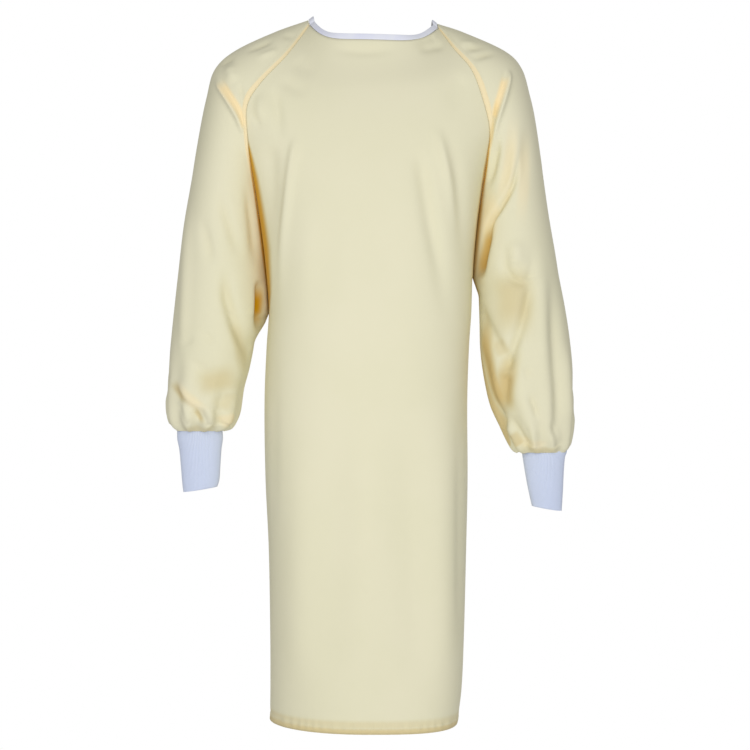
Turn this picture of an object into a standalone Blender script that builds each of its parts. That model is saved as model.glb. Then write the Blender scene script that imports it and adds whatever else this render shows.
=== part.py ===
"""Isolation gown with raglan sleeves, knitted cuffs, a bound neck and a lapped back, worn and hollow.

Metres, +Z up. The front faces -Y and the photo's right is +X, so "left" and "right" are as seen from the
front. The origin is the middle of the neck opening, level with the high points of the shoulders, where the
wearer holds the gown up. Every cloth piece is a grid of points on its outer side, row by row from the neck
down, which is given its thickness inwards.
"""

import math
from collections import namedtuple

import bmesh
import bpy
from mathutils import Vector

# Thicknesses and small sizes of the cloth
CLOTH = 0.0015
KNIT = 0.0025
BINDING_THICK = 0.003
BINDING_WIDE = 0.0095
SEAM_GAP = 0.0003
BINDING_GAP = 0.0006
SEAM_BAND = 0.009
SEAM_RISE = 0.0008
RAISED_ROWS = 5
HEM_BAND = 0.012
HEM_RISE = 0.0008

# The gown's main sizes
HEM_HEIGHT = -1.188
SIDE_SEAM_BACK = 0.012
NECK_SAG = 0.033
NECK_CURVE = 2.7
BACK_NECK_SAG = 0.012
BACK_SEAM_OUT = 0.004
BACK_SEAM_RISE = 0.007
LAP_DROP = 0.0045
LAP_RAMP = 0.055
LAP_LEVEL = 0.008
HEM_STEP = 0.004
UNDERARM_PULL = 0.9
UNDERARM_DROP = 0.055
PULL_SHARE = 0.38
BINDING_LEAN = 0.35
BINDING_SIDE_LEAN = 0.75
NECK_SAG_FADE = 1.6
SIDE_SHIFT_ROWS = 3

# How far a sleeve hangs from the body's side, reached within so many columns of its seam
CLEAR = 0.005
CLEAR_COLUMNS = 3

# Where pieces meet: each stands back by this share of the gap, and in these rows the seam lies in the valley
# between body and sleeve
GAP_SHARE = 0.9
VALLEY_ROWS = range(4, 10)

# A fold keeps this share of its height at its ends, and reaches all of it this share of the way along
FOLD_END = 0.2
FOLD_TAPER = 0.3

# A fold fades out within so many columns of a seam, and only moves cloth that faces its own way at least
# this much
FOLD_COLUMNS = 3
FOLD_FACING = 0.1

# How finely the pieces are divided
SEAM_ROWS = 10
SKIRT_ROWS = 10
FRONT_COLUMNS = 26
BACK_COLUMNS = 14
SLEEVE_COLUMNS = 36
SLEEVE_STEPS = 2
GATHERS = 9
GATHER_UNEVEN = 0.3
CUFF_COLUMNS = 24
BINDING_STEPS = 72
TIE_STEPS = 2
DENSE = 200

# The raglan seam down the front of each armhole, from the neck to the underarm point: how far out, forward
# and down. The last row is the underarm point, where the sleeve and the body close.
Seam = namedtuple("Seam", "out forward down")
RAGLAN_LEFT = (
    Seam(0.101, 0.030, 0.028),
    Seam(0.138, 0.082, 0.080),
    Seam(0.180, 0.104, 0.130),
    Seam(0.2020, 0.105, 0.168),
    Seam(0.2010, 0.094, 0.218),
    Seam(0.1950, 0.072, 0.260),
    Seam(0.1870, 0.047, 0.318),
    Seam(0.1780, 0.031, 0.387),
    Seam(0.1715, 0.019, 0.456),
    Seam(0.1690, 0.000, 0.500),
)
RAGLAN_RIGHT = (
    Seam(0.103, 0.030, 0.028),
    Seam(0.137, 0.076, 0.068),
    Seam(0.168, 0.100, 0.106),
    Seam(0.1850, 0.104, 0.150),
    Seam(0.1985, 0.094, 0.202),
    Seam(0.1960, 0.072, 0.245),
    Seam(0.1890, 0.047, 0.298),
    Seam(0.1820, 0.031, 0.355),
    Seam(0.1770, 0.019, 0.413),
    Seam(0.1745, 0.000, 0.454),
)

# The body's own section at each height: how far forward and back it stands, how square its corners are on
# each side, and how far each back panel's free edge passes the centre line.
Body = namedtuple("Body", "height front back square_left square_right lap")
BODY = (
    Body(0.000, 0.092, 0.066, 2.4, 2.4, 0.034),
    Body(-0.060, 0.098, 0.089, 2.4, 2.4, 0.036),
    Body(-0.120, 0.116, 0.116, 2.5, 2.5, 0.042),
    Body(-0.200, 0.130, 0.123, 2.7, 2.8, 0.050),
    Body(-0.320, 0.138, 0.122, 2.8, 2.9, 0.060),
    Body(-0.500, 0.140, 0.114, 2.7, 2.8, 0.072),
    Body(-0.700, 0.139, 0.120, 2.4, 2.7, 0.080),
    Body(-0.950, 0.137, 0.127, 2.1, 2.8, 0.088),
    Body(HEM_HEIGHT, 0.135, 0.131, 1.8, 3.0, 0.094),
)

# The side seams below the underarm: how far out each one hangs at each height.
Side = namedtuple("Side", "height left right")
SIDES = (
    Side(-0.440, 0.171, 0.1745),
    Side(-0.500, 0.169, 0.1730),
    Side(-0.560, 0.173, 0.1690),
    Side(-0.650, 0.1765, 0.1660),
    Side(-0.780, 0.175, 0.1665),
    Side(-0.900, 0.171, 0.1640),
    Side(-1.050, 0.169, 0.1600),
    Side(HEM_HEIGHT, 0.170, 0.1570),
)

# The sleeve's sections. Each is an oval across the arm: the place of its outer line (over the shoulder and
# down the outside of the arm), how that oval leans, its half sizes outward, forward and back, how far round
# it reaches from the outer line to the seams, and the height of its gathers. The first ones end on the ten
# places of the raglan seam, one each; the rest are whole rings down to the cuff.
Ring = namedtuple("Ring", "out forward height lean half_out half_front half_back reach gather")
SLEEVE_LEFT = (
    Ring(0.103, 0.000, -0.009, 80, 0.020, 0.030, 0.036, 90, 0),
    Ring(0.160, 0.000, -0.028, 60, 0.040, 0.078, 0.080, 92, 0),
    Ring(0.227, 0.002, -0.061, 47, 0.054, 0.098, 0.100, 97, 0),
    Ring(0.261, 0.004, -0.093, 41, 0.060, 0.102, 0.104, 103, 0),
    Ring(0.2745, 0.006, -0.140, 34, 0.060, 0.100, 0.102, 110, 0),
    Ring(0.285, 0.007, -0.190, 24, 0.058, 0.095, 0.096, 128, 0),
    Ring(0.299, 0.008, -0.272, 15, 0.057, 0.088, 0.086, 148, 0),
    Ring(0.3125, 0.010, -0.355, 11, 0.061, 0.083, 0.078, 160, 0),
    Ring(0.322, 0.012, -0.435, 9, 0.066, 0.080, 0.074, 170, 0),
    Ring(0.328, 0.014, -0.490, 9, 0.0695, 0.078, 0.072, 180, 0),
    Ring(0.332, 0.016, -0.530, 9, 0.0700, 0.076, 0.070, 180, 0),
    Ring(0.336, 0.019, -0.572, 9, 0.0680, 0.073, 0.068, 180, 0.0006),
    Ring(0.3385, 0.022, -0.612, 8, 0.0640, 0.069, 0.064, 180, 0.0016),
    Ring(0.3390, 0.025, -0.652, 7, 0.0610, 0.064, 0.060, 180, 0.0028),
    Ring(0.3370, 0.027, -0.676, 5, 0.0560, 0.056, 0.052, 180, 0.0036),
    Ring(0.3330, 0.028, -0.691, 3, 0.0480, 0.042, 0.040, 180, 0.0030),
    Ring(0.3270, 0.028, -0.700, 1, 0.0385, 0.028, 0.028, 180, 0.0012),
)
SLEEVE_RIGHT = (
    Ring(0.105, 0.000, -0.009, 80, 0.020, 0.030, 0.036, 90, 0),
    Ring(0.160, 0.000, -0.028, 60, 0.040, 0.076, 0.078, 92, 0),
    Ring(0.230, 0.002, -0.061, 47, 0.056, 0.098, 0.100, 97, 0),
    Ring(0.2585, 0.004, -0.091, 41, 0.061, 0.102, 0.104, 103, 0),
    Ring(0.272, 0.006, -0.136, 34, 0.060, 0.100, 0.102, 110, 0),
    Ring(0.281, 0.007, -0.177, 24, 0.057, 0.095, 0.096, 128, 0),
    Ring(0.2925, 0.008, -0.255, 15, 0.056, 0.088, 0.086, 148, 0),
    Ring(0.303, 0.010, -0.333, 11, 0.060, 0.083, 0.078, 160, 0),
    Ring(0.3145, 0.012, -0.401, 9, 0.067, 0.081, 0.074, 170, 0),
    Ring(0.3215, 0.014, -0.440, 9, 0.0700, 0.080, 0.072, 180, 0),
    Ring(0.3330, 0.016, -0.490, 9, 0.0750, 0.079, 0.072, 180, 0),
    Ring(0.3405, 0.019, -0.540, 9, 0.0775, 0.077, 0.070, 180, 0),
    Ring(0.3450, 0.022, -0.590, 8, 0.0765, 0.073, 0.067, 180, 0.0008),
    Ring(0.3475, 0.025, -0.640, 7, 0.0720, 0.068, 0.062, 180, 0.0020),
    Ring(0.3470, 0.027, -0.682, 5, 0.0650, 0.060, 0.055, 180, 0.0030),
    Ring(0.3450, 0.028, -0.708, 4, 0.0575, 0.050, 0.046, 180, 0.0036),
    Ring(0.3420, 0.029, -0.726, 3, 0.0480, 0.038, 0.037, 180, 0.0030),
    Ring(0.3355, 0.029, -0.735, 2, 0.0385, 0.028, 0.028, 180, 0.0012),
)

# The knitted cuffs: how far down from the sleeve's end each ring is, its half sizes, and how far out and
# forward the wrist swings by there.
CuffRing = namedtuple("CuffRing", "down half_wide half_deep out forward")
CUFF = (
    CuffRing(0.000, 0.0375, 0.0270, 0.0000, 0.0000),
    CuffRing(0.012, 0.0355, 0.0262, 0.0005, 0.0005),
    CuffRing(0.050, 0.0335, 0.0250, 0.0020, 0.0020),
    CuffRing(0.090, 0.0320, 0.0240, 0.0040, 0.0040),
    CuffRing(0.100, 0.0310, 0.0235, 0.0045, 0.0045),
)
CUFF_TILT = {-1: 0.000, 1: 0.014}

# The largest folds, as soft troughs (negative) and ridges on the front or the back. A fold runs through two
# or three places, given by how far right and how high they are.
Fold = namedtuple("Fold", "piece side places wide height")
FOLDS = (
    Fold("front", -1, ((0.078, -0.262), (0.100, -0.380), (0.132, -0.545)), 0.020, -0.0070),
    Fold("front", -1, ((0.112, -0.240), (0.131, -0.400)), 0.015, 0.0040),
    Fold("front", -1, ((-0.1165, -0.225), (-0.137, -0.390), (-0.145, -0.520)), 0.013, 0.0040),
    Fold("front", -1, ((-0.145, -0.215), (-0.160, -0.420)), 0.014, -0.0040),
    Fold("front", -1, ((-0.055, -0.640), (-0.062, -1.150)), 0.035, -0.0030),
    Fold("front", -1, ((0.060, -0.640), (0.078, -1.150)), 0.030, -0.0040),
    Fold("back", 1, ((-0.155, -0.240), (-0.158, -0.600)), 0.016, -0.0060),
    Fold("back", 1, ((0.120, -0.220), (0.108, -0.560)), 0.022, -0.0070),
    Fold("back", 1, ((-0.120, -0.640), (-0.128, -1.140)), 0.030, -0.0060),
    Fold("back", 1, ((0.128, -0.640), (0.132, -1.150)), 0.022, -0.0060),
    Fold("sleeve_left", -1, ((-0.232, -0.380), (-0.228, -0.520), (-0.236, -0.665)), 0.014, -0.0080),
    Fold("sleeve_left", -1, ((-0.318, -0.575), (-0.272, -0.640), (-0.258, -0.672)), 0.010, -0.0060),
    Fold("sleeve_left", 1, ((-0.235, -0.300), (-0.250, -0.600)), 0.018, -0.0070),
    Fold("sleeve_left", 1, ((-0.300, -0.420), (-0.262, -0.540)), 0.014, -0.0060),
    Fold("sleeve_right", -1, ((0.222, -0.175), (0.203, -0.230)), 0.010, -0.0060),
    Fold("sleeve_right", -1, ((0.250, -0.450), (0.222, -0.560), (0.216, -0.660)), 0.015, -0.0090),
    Fold("sleeve_right", -1, ((0.228, -0.330), (0.222, -0.450), (0.250, -0.480)), 0.012, -0.0060),
    Fold("sleeve_right", -1, ((0.302, -0.380), (0.312, -0.660)), 0.014, -0.0050),
    Fold("sleeve_right", 1, ((0.232, -0.290), (0.252, -0.610)), 0.018, -0.0070),
    Fold("sleeve_right", 1, ((0.300, -0.400), (0.262, -0.520)), 0.014, -0.0060),
)

# A tie is one flat strap: sewn down at its root, led to the knot, out to a loop and back, and down as a tail.
# Each place is given from the knot: how far toward its own root, up, and off the cloth, and how the strap's
# width lies there, upright (90) or level (0).
Turn = namedtuple("Turn", "along up off width")
TIE_UNDER = (
    Turn(0.036, 0.001, 0.0013, 90),
    Turn(0.018, 0.001, 0.0014, 90),
    Turn(0.007, 0.000, 0.0017, 90),
    Turn(0.0035, 0.000, 0.0035, 90),
    Turn(0.012, -0.001, 0.0053, 90),
    Turn(0.030, -0.005, 0.0070, 90),
    Turn(0.0405, -0.009, 0.0100, 90),
    Turn(0.032, -0.008, 0.0132, 90),
    Turn(0.014, -0.003, 0.0125, 90),
    Turn(0.006, -0.005, 0.0105, 75),
    Turn(0.007, -0.017, 0.0085, 25),
    Turn(0.010, -0.036, 0.0052, 8),
    Turn(0.013, -0.080, 0.0032, 4),
    Turn(0.015, -0.140, 0.0030, 2),
)
TIE_OVER = (
    Turn(0.036, 0.001, 0.0013, 90),
    Turn(0.018, 0.001, 0.0014, 90),
    Turn(0.007, 0.000, 0.0017, 90),
    Turn(0.0035, 0.000, 0.0035, 90),
    Turn(0.012, -0.001, 0.0053, 90),
    Turn(0.030, -0.004, 0.0070, 90),
    Turn(0.0405, -0.007, 0.0100, 90),
    Turn(0.032, -0.006, 0.0138, 90),
    Turn(0.014, -0.001, 0.0155, 90),
    Turn(0.000, 0.000, 0.0160, 80),
    Turn(-0.005, -0.007, 0.0148, 50),
    Turn(-0.003, -0.020, 0.0122, 22),
    Turn(0.005, -0.038, 0.0078, 10),
    Turn(0.010, -0.075, 0.0040, 4),
    Turn(0.013, -0.125, 0.0030, 2),
)
TIE_WIDE = 0.013
TIE_THICK = 0.0015
TIE_ROOT_TURNS = 3

# Where each pair of ties is knotted: how high, how far past the right panel's edge, how far its loops and
# roots spread, how much longer than the table's its tails hang, and how far more it stands off the cloth.
TiePlace = namedtuple("TiePlace", "name height beyond spread drop lift")
TIE_PLACES = (
    TiePlace("neck", -0.055, 0.012, 0.72, 1.0, 0.0008),
    TiePlace("waist", -0.520, 0.020, 1.0, 1.5, 0.0),
)

Piece = namedtuple("Piece", "rows outward")
SIDE_NAMES = {-1: "left", 1: "right"}
YELLOW = (0.80, 0.74, 0.53, 1)
WHITE = (0.72, 0.76, 0.87, 1)
ROUGH = 0.85
SHARP_DEGREES = 40

# A strap's section with its corners cut: shares of its width and of its thickness
STRAP_HALF = ((0.5, 0.3), (0.4, 0.5), (-0.4, 0.5), (-0.5, 0.3))
STRAP_CORNERS = STRAP_HALF + tuple((-across, -through) for across, through in STRAP_HALF)


def smooth(xs, ys, x):
    """A smooth curve through the values ys at the places xs, read at x."""
    if x <= xs[0]:
        return ys[0]
    if x >= xs[-1]:
        return ys[-1]
    i = max(k for k in range(len(xs) - 1) if xs[k] <= x)

    def slope(k):
        low, high = max(k - 1, 0), min(k + 1, len(xs) - 1)
        return (ys[high] - ys[low]) / (xs[high] - xs[low])

    step = xs[i + 1] - xs[i]
    t = (x - xs[i]) / step
    first = (2 * t**3 - 3 * t**2 + 1) * ys[i] + (t**3 - 2 * t**2 + t) * step * slope(i)
    return first + (3 * t**2 - 2 * t**3) * ys[i + 1] + (t**3 - t**2) * step * slope(i + 1)


def read(table, column, height):
    """A column of a table that runs down from its first height, at any height."""
    return smooth([-row.height for row in table], [getattr(row, column) for row in table], -height)


def signed_power(value, power):
    return math.copysign(abs(value) ** power, value)


def ease(t):
    t = min(max(t, 0), 1)
    return t * t * (3 - 2 * t)


def evenly(points, shares):
    """The places at these shares of the way along a line of points."""
    along = [0.0]
    for a, b in zip(points, points[1:]):
        along.append(along[-1] + (b - a).length)
    found, k = [], 0
    for share in shares:
        want = share * along[-1]
        while k < len(points) - 2 and along[k + 1] < want:
            k += 1
        t = (want - along[k]) / max(along[k + 1] - along[k], 1e-12)
        found.append(points[k].lerp(points[k + 1], min(max(t, 0), 1)))
    return found


def length(points):
    return sum((b - a).length for a, b in zip(points, points[1:]))


def columns(count, band=None):
    """Even shares from 0 to 1, or with a narrow band of its own width at both ends."""
    if band is None:
        return [k / count for k in range(count + 1)]
    middle = count - 2
    return [0] + [band + (1 - 2 * band) * k / middle for k in range(middle + 1)] + [1]


def raglan(side, t):
    """A point of the front raglan seam, from 0 at the neck to 1 at the underarm."""
    table = RAGLAN_LEFT if side < 0 else RAGLAN_RIGHT
    places = [k / (len(table) - 1) for k in range(len(table))]
    out, forward, down = (smooth(places, [row[k] for row in table], t) for k in range(3))
    return Vector((side * out, -forward, -down))


def back_raglan(side, t):
    """The back raglan seam, which stands a little higher and further out, and meets the front one."""
    p = raglan(side, t)
    return Vector((p.x, -p.y + BACK_SEAM_OUT * (1 - t), p.z + BACK_SEAM_RISE * (1 - t)))


def body_line(left, right, facing, depth, squares):
    """A dense section line from the left point to the right one round the front (-1) or the back (1)."""
    ends, spans = [], []
    for point, square in zip((left, right), squares):
        inside = min(abs(point.y) / depth, 0.999) ** (square / 2)
        ends.append(math.acos(math.copysign(inside, point.y * facing)))
        spans.append(abs(point.x) / math.sin(ends[-1]) ** (2 / square))
    line = []
    for k in range(DENSE + 1):
        angle = -ends[0] + (ends[0] + ends[1]) * k / DENSE
        half = 0 if angle < 0 else 1
        power = 2 / squares[half]
        x = spans[half] * signed_power(math.sin(angle), power)
        y = facing * depth * signed_power(math.cos(angle), power)
        share = (x - left.x) / (right.x - left.x)
        line.append(Vector((x, y, left.z + (right.z - left.z) * share)))
    return line


def body_ends(facing):
    """The two ends of each body row: on the raglan seams, then on the side seams down to the hem."""
    seam = raglan if facing < 0 else back_raglan
    ends = [(seam(-1, k / (SEAM_ROWS - 1)), seam(1, k / (SEAM_ROWS - 1))) for k in range(SEAM_ROWS)]
    starts = [end.z for end in ends[-1]]
    stops = [HEM_HEIGHT + HEM_BAND + HEM_STEP] * SKIRT_ROWS + [HEM_HEIGHT + HEM_BAND, HEM_HEIGHT]
    for k, stop in enumerate(stops, 1):
        left_z, right_z = (start + (stop - start) * min(k / SKIRT_ROWS, 1) for start in starts)
        y = SIDE_SEAM_BACK * ease(k / SIDE_SHIFT_ROWS)
        left = Vector((-read(SIDES, "left", left_z), y, left_z))
        ends.append((left, Vector((read(SIDES, "right", right_z), y, right_z))))
    return ends


def body_lines(facing):
    """The body's dense section lines from the neck to the hem, each from its left end to its right one."""
    lines = []
    for k, (left, right) in enumerate(body_ends(facing)):
        height = (left.z + right.z) / 2
        depth = read(BODY, "front" if facing < 0 else "back", height)
        squares = (read(BODY, "square_left", height), read(BODY, "square_right", height))
        line = body_line(left, right, facing, depth, squares)
        sag = NECK_SAG if facing < 0 else BACK_NECK_SAG
        sag *= max(1 - k / (SEAM_ROWS - 1), 0) ** NECK_SAG_FADE
        for point in line:
            across = abs(point.x) / (abs(left.x) if point.x < 0 else right.x)
            point.z -= sag * (1 - min(across, 1) ** NECK_CURVE)
        lines.append(line)
    return lines


def front_rows(lines):
    """The front panel's grid, from its left edge to its right one."""
    return [evenly(line, columns(FRONT_COLUMNS, SEAM_BAND / length(line))) for line in lines]


def back_rows(lines, side):
    """One back panel's grid, which runs on round the body from the right to the left. Each panel reaches
    past the centre, and the left one dips under the right one there."""
    rows = []
    for line in lines:
        lap = read(BODY, "lap", line[DENSE // 2].z)
        kept = [point.copy() for point in reversed(line) if point.x * side > -lap]
        if side < 0:
            for point in kept:
                point.y -= LAP_DROP * ease((point.x + lap + LAP_RAMP) / (LAP_RAMP - LAP_LEVEL))
        rows.append(evenly(kept, columns(BACK_COLUMNS, SEAM_BAND / length(kept))))
    return rows


def sleeve_line(side, ring, seams):
    """A dense line across the sleeve, from its front seam over the outside to its back seam."""
    lean, reach = math.radians(ring.lean), math.radians(ring.reach)
    out = Vector((side * math.cos(lean), 0, math.sin(lean)))
    centre = Vector((side * ring.out, -ring.forward, ring.height)) - out * ring.half_out
    line = []
    for k in range(DENSE + 1):
        angle = -reach + 2 * reach * k / DENSE
        half = ring.half_front if angle < 0 else ring.half_back
        line.append(centre + out * ring.half_out * math.cos(angle) + Vector((0, half * math.sin(angle), 0)))
    if seams:
        front_pull, back_pull = seams[0] - line[0], seams[1] - line[-1]
        for k, point in enumerate(line):
            point += front_pull * max(1 - k / DENSE / PULL_SHARE, 0) ** 2
            point += back_pull * max(1 - (1 - k / DENSE) / PULL_SHARE, 0) ** 2
    return line


def sleeve_rings(side):
    """The rings of the sleeve's table, with more of them between the whole ones."""
    table = SLEEVE_LEFT if side < 0 else SLEEVE_RIGHT
    places = list(range(len(table)))
    whole = len(table) - SEAM_ROWS
    wanted = list(range(SEAM_ROWS - 1))
    wanted += [SEAM_ROWS - 1 + k / SLEEVE_STEPS for k in range(whole * SLEEVE_STEPS + 1)]
    return [Ring(*(smooth(places, list(column), want) for column in zip(*table))) for want in wanted]


def sleeve_rows(side):
    """The sleeve's grid, which runs on round the arm the way the body's rows do: open rows on the two
    seams, then rings that close below the underarm point."""
    rows, underarm = [], raglan(side, 1)
    for k, ring in enumerate(sleeve_rings(side)):
        if k < SEAM_ROWS:
            share = k / (SEAM_ROWS - 1)
            seams = (raglan(side, share), back_raglan(side, share))
        else:
            loose = sleeve_line(side, ring, None)[0]
            drawn = UNDERARM_PULL * ease(1 - (underarm.z - loose.z) / UNDERARM_DROP)
            seams = [loose.lerp(Vector((underarm.x, underarm.y, loose.z)), drawn)] * 2
        line = sleeve_line(side, ring, seams)
        if side < 0:
            line.reverse()
        rows.append(evenly(line, columns(SLEEVE_COLUMNS, SEAM_BAND / length(line))))
    return rows


def body_edge(lines, side, y, height):
    """How far out the body's side stands, this far forward or back and this high."""
    heights, outs = [], []
    for line in lines[SEAM_ROWS // 2 :]:
        half = line[DENSE // 2 :] if side > 0 else line[DENSE // 2 :: -1]
        reached = [point for point in half if abs(point.y) >= abs(y)]
        edge = reached[-1] if reached else half[-1]
        heights.append(edge.z)
        outs.append(abs(edge.x))
    return smooth([-z for z in heights], outs, -height)


def keep_clear(rows, side, lines):
    """Push a sleeve's points away from the body's side, more and more within a few columns of the seam."""
    for i, row in enumerate(rows[SEAM_ROWS // 2 : -1], SEAM_ROWS // 2):
        last = len(row) - 1
        for j, point in enumerate(row):
            from_seam = min(j, last - j)
            if i < SEAM_ROWS and from_seam == 0:
                continue
            clearance = CLEAR if i >= SEAM_ROWS else CLEAR * min(from_seam / CLEAR_COLUMNS, 1)
            least = body_edge(lines[-1 if point.y < 0 else 1], side, point.y, point.z) + clearance
            if abs(point.x) < least:
                point.x = side * least


def normals(rows, joined_from=None):
    """The outward normal at every point of a grid, from the points round it."""
    found = []
    for i, row in enumerate(rows):
        above, below = rows[max(i - 1, 0)], rows[min(i + 1, len(rows) - 1)]
        closed = joined_from is not None and i >= joined_from
        line = []
        for j in range(len(row)):
            low, high = max(j - 1, 0), min(j + 1, len(row) - 1)
            if closed and j in (0, len(row) - 1):
                low, high = len(row) - 2, 1
            line.append((row[high] - row[low]).cross(above[j] - below[j]).normalized())
        found.append(line)
    return found


def fold_height(fold, point):
    """How far one fold moves a point out of its piece."""
    here, nearest, share, gone = Vector((point.x, point.z)), math.inf, 0, 0
    places = [Vector(place) for place in fold.places]
    run = length(places)
    for a, b in zip(places, places[1:]):
        t = min(max((here - a).dot(b - a) / (b - a).length_squared, 0), 1)
        away = (here - a.lerp(b, t)).length
        if away < nearest:
            nearest, share = away, (gone + t * (b - a).length) / run
        gone += (b - a).length
    taper = ease(share / FOLD_TAPER) * ease((1 - share) / FOLD_TAPER)
    return fold.height * math.exp(-((nearest / fold.wide) ** 2)) * (FOLD_END + (1 - FOLD_END) * taper)


def lay_folds(piece, rows, joined_from=None):
    """Press a piece's folds into its grid, fading out at its seams, and return its normals."""
    outward = normals(rows, joined_from)
    for i, row in enumerate(rows):
        whole = joined_from is not None and i > joined_from
        for j, point in enumerate(row):
            clear = 1 if whole else ease(min(j, len(row) - 1 - j) / FOLD_COLUMNS)
            facing = outward[i][j].y
            folds = [fold for fold in FOLDS if fold.piece == piece and facing * fold.side > FOLD_FACING]
            row[j] = point + outward[i][j] * clear * sum(fold_height(fold, point) for fold in folds)
    return normals(rows, joined_from)


def gather(rows, rings, outward, side):
    """The small waves of the sleeve's full end, where it is drawn into the cuff."""
    for row, ring, line in zip(rows, rings, outward):
        for j, normal in enumerate(line):
            around = 2 * math.pi * j / (len(row) - 1)
            uneven = 1 + GATHER_UNEVEN * math.sin(2 * around + side)
            row[j] = row[j] + normal * ring.gather * uneven * math.cos(GATHERS * around + side)


def level_end(rows):
    """Bring the sleeve's last ring into one level plane, for the cuff's flat top edge."""
    height = sum(point.z for point in rows[-1][:-1]) / (len(rows[-1]) - 1)
    for point in rows[-1]:
        point.z = height


def part_edges(first, first_column, second, second_column, places):
    """Move two pieces' shared edge points half a gap apart. Outside the valley both also get the same normal,
    so that the cut edges of their walls face each other."""
    inside = {0: 1, -1: -2}
    for i in places:
        a, b = first.rows[i][first_column], second.rows[i][second_column]
        toward_a = (first.rows[i][inside[first_column]] - a).normalized()
        toward_b = (second.rows[i][inside[second_column]] - b).normalized()
        apart = (toward_a - toward_b).normalized() * SEAM_GAP * GAP_SHARE
        first.rows[i][first_column], second.rows[i][second_column] = a + apart, b - apart
        if i not in VALLEY_ROWS:
            shared = first.outward[i][first_column] + second.outward[i][second_column]
            first.outward[i][first_column] = second.outward[i][second_column] = shared.normalized()


def part_underarm(side, front, back, sleeve):
    """Keep the corners of the three pieces that meet at the underarm point a gap apart."""
    point, gap = raglan(side, 1), SEAM_GAP * GAP_SHARE
    body_x = point.x - side * gap
    front.rows[SEAM_ROWS - 1][-1 if side > 0 else 0] = Vector((body_x, point.y - gap, point.z))
    back.rows[SEAM_ROWS - 1][0 if side > 0 else -1] = Vector((body_x, point.y + gap, point.z))
    for column in (0, -1):
        sleeve.rows[SEAM_ROWS - 1][column] = Vector((point.x + side * gap, point.y, point.z))


def wall(name, piece, thick, colour, joined_from=None, rise=None):
    """A closed cloth wall on a grid of outer points. Rows from joined_from on are rings, whose first and
    last points are one. rise(i, j) lifts a sewn band off the cloth."""
    mesh = bmesh.new()
    sides = []
    for inner in (False, True):
        grid = []
        for i, (row, line) in enumerate(zip(piece.rows, piece.outward)):
            made = []
            for j, (point, normal) in enumerate(zip(row, line)):
                off = -thick if inner else rise(i, j) if rise else 0
                made.append(mesh.verts.new(point + normal * off))
            if joined_from is not None and i >= joined_from:
                mesh.verts.remove(made.pop())
                made.append(made[0])
            grid.append(made)
        sides.append(grid)
    outer, inner = sides
    last = len(outer) - 1
    for i in range(last):
        for j in range(len(outer[0]) - 1):
            mesh.faces.new((outer[i][j], outer[i + 1][j], outer[i + 1][j + 1], outer[i][j + 1]))
            mesh.faces.new((inner[i][j], inner[i][j + 1], inner[i + 1][j + 1], inner[i + 1][j]))
    for j in range(len(outer[0]) - 1):
        mesh.faces.new((outer[0][j], outer[0][j + 1], inner[0][j + 1], inner[0][j]))
        mesh.faces.new((outer[last][j + 1], outer[last][j], inner[last][j], inner[last][j + 1]))
    for i in range(last if joined_from is None else joined_from):
        mesh.faces.new((outer[i + 1][0], outer[i][0], inner[i][0], inner[i + 1][0]))
        mesh.faces.new((outer[i][-1], outer[i + 1][-1], inner[i + 1][-1], inner[i][-1]))
    return finish(name, mesh, colour)


def finish(name, mesh, colour):
    """Turn a bmesh into a named object with its own material."""
    bmesh.ops.recalc_face_normals(mesh, faces=mesh.faces)
    data = bpy.data.meshes.new(name)
    mesh.to_mesh(data)
    mesh.free()
    data.shade_smooth()
    data.set_sharp_from_angle(angle=math.radians(SHARP_DEGREES))
    material = bpy.data.materials.new(name)
    material.use_nodes = True
    shader = material.node_tree.nodes["Principled BSDF"]
    shader.inputs["Base Color"].default_value = colour
    shader.inputs["Roughness"].default_value = ROUGH
    shader.inputs["Metallic"].default_value = 0
    data.materials.append(material)
    made = bpy.data.objects.new(name, data)
    bpy.context.scene.collection.objects.link(made)
    return made


def strap(name, places, ups, wide, thick, colour):
    """A flat band along a line, with its corners cut. ups is the direction of its width at each place."""
    mesh = bmesh.new()
    rings = []
    for k, (point, up) in enumerate(zip(places, ups)):
        along = places[min(k + 1, len(places) - 1)] - places[max(k - 1, 0)]
        off = along.cross(up).normalized()
        rings.append([mesh.verts.new(point + up * wide * a + off * thick * b) for a, b in STRAP_CORNERS])
    for ring, following in zip(rings, rings[1:]):
        for j in range(len(ring)):
            n = (j + 1) % len(ring)
            mesh.faces.new((ring[j], ring[n], following[n], following[j]))
    mesh.faces.new(list(reversed(rings[0])))
    mesh.faces.new(rings[-1])
    return finish(name, mesh, colour)


def neck_binding(pieces):
    """The band above the cloth's edge, leaning in, most over the shoulders, from one free edge round to the
    other."""
    edge = [point for piece in pieces for point in piece.rows[0]]
    places, ups = [], []
    for point in evenly(edge, columns(BINDING_STEPS)):
        inward = Vector((-point.x, -point.y, 0)).normalized()
        up = (Vector((0, 0, 1)) + inward * (BINDING_LEAN + BINDING_SIDE_LEAN * inward.x**2)).normalized()
        places.append(point + up * (BINDING_WIDE / 2 + BINDING_GAP) + inward * CLOTH / 2)
        ups.append(up)
    return strap("neck_binding", places, ups, BINDING_WIDE, BINDING_THICK, WHITE)


def on_back(lines, x, height):
    """The place on the back's outer side that is this far right and this high."""
    column = []
    for line in lines:
        k = next(k for k in range(DENSE // 8, DENSE) if line[k + 1].x > x)
        column.append(line[k].lerp(line[k + 1], (x - line[k].x) / (line[k + 1].x - line[k].x)))
    i = max(k for k in range(len(column) - 1) if column[k].z >= height or k == 0)
    return column[i].lerp(column[i + 1], (column[i].z - height) / (column[i].z - column[i + 1].z))


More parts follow.
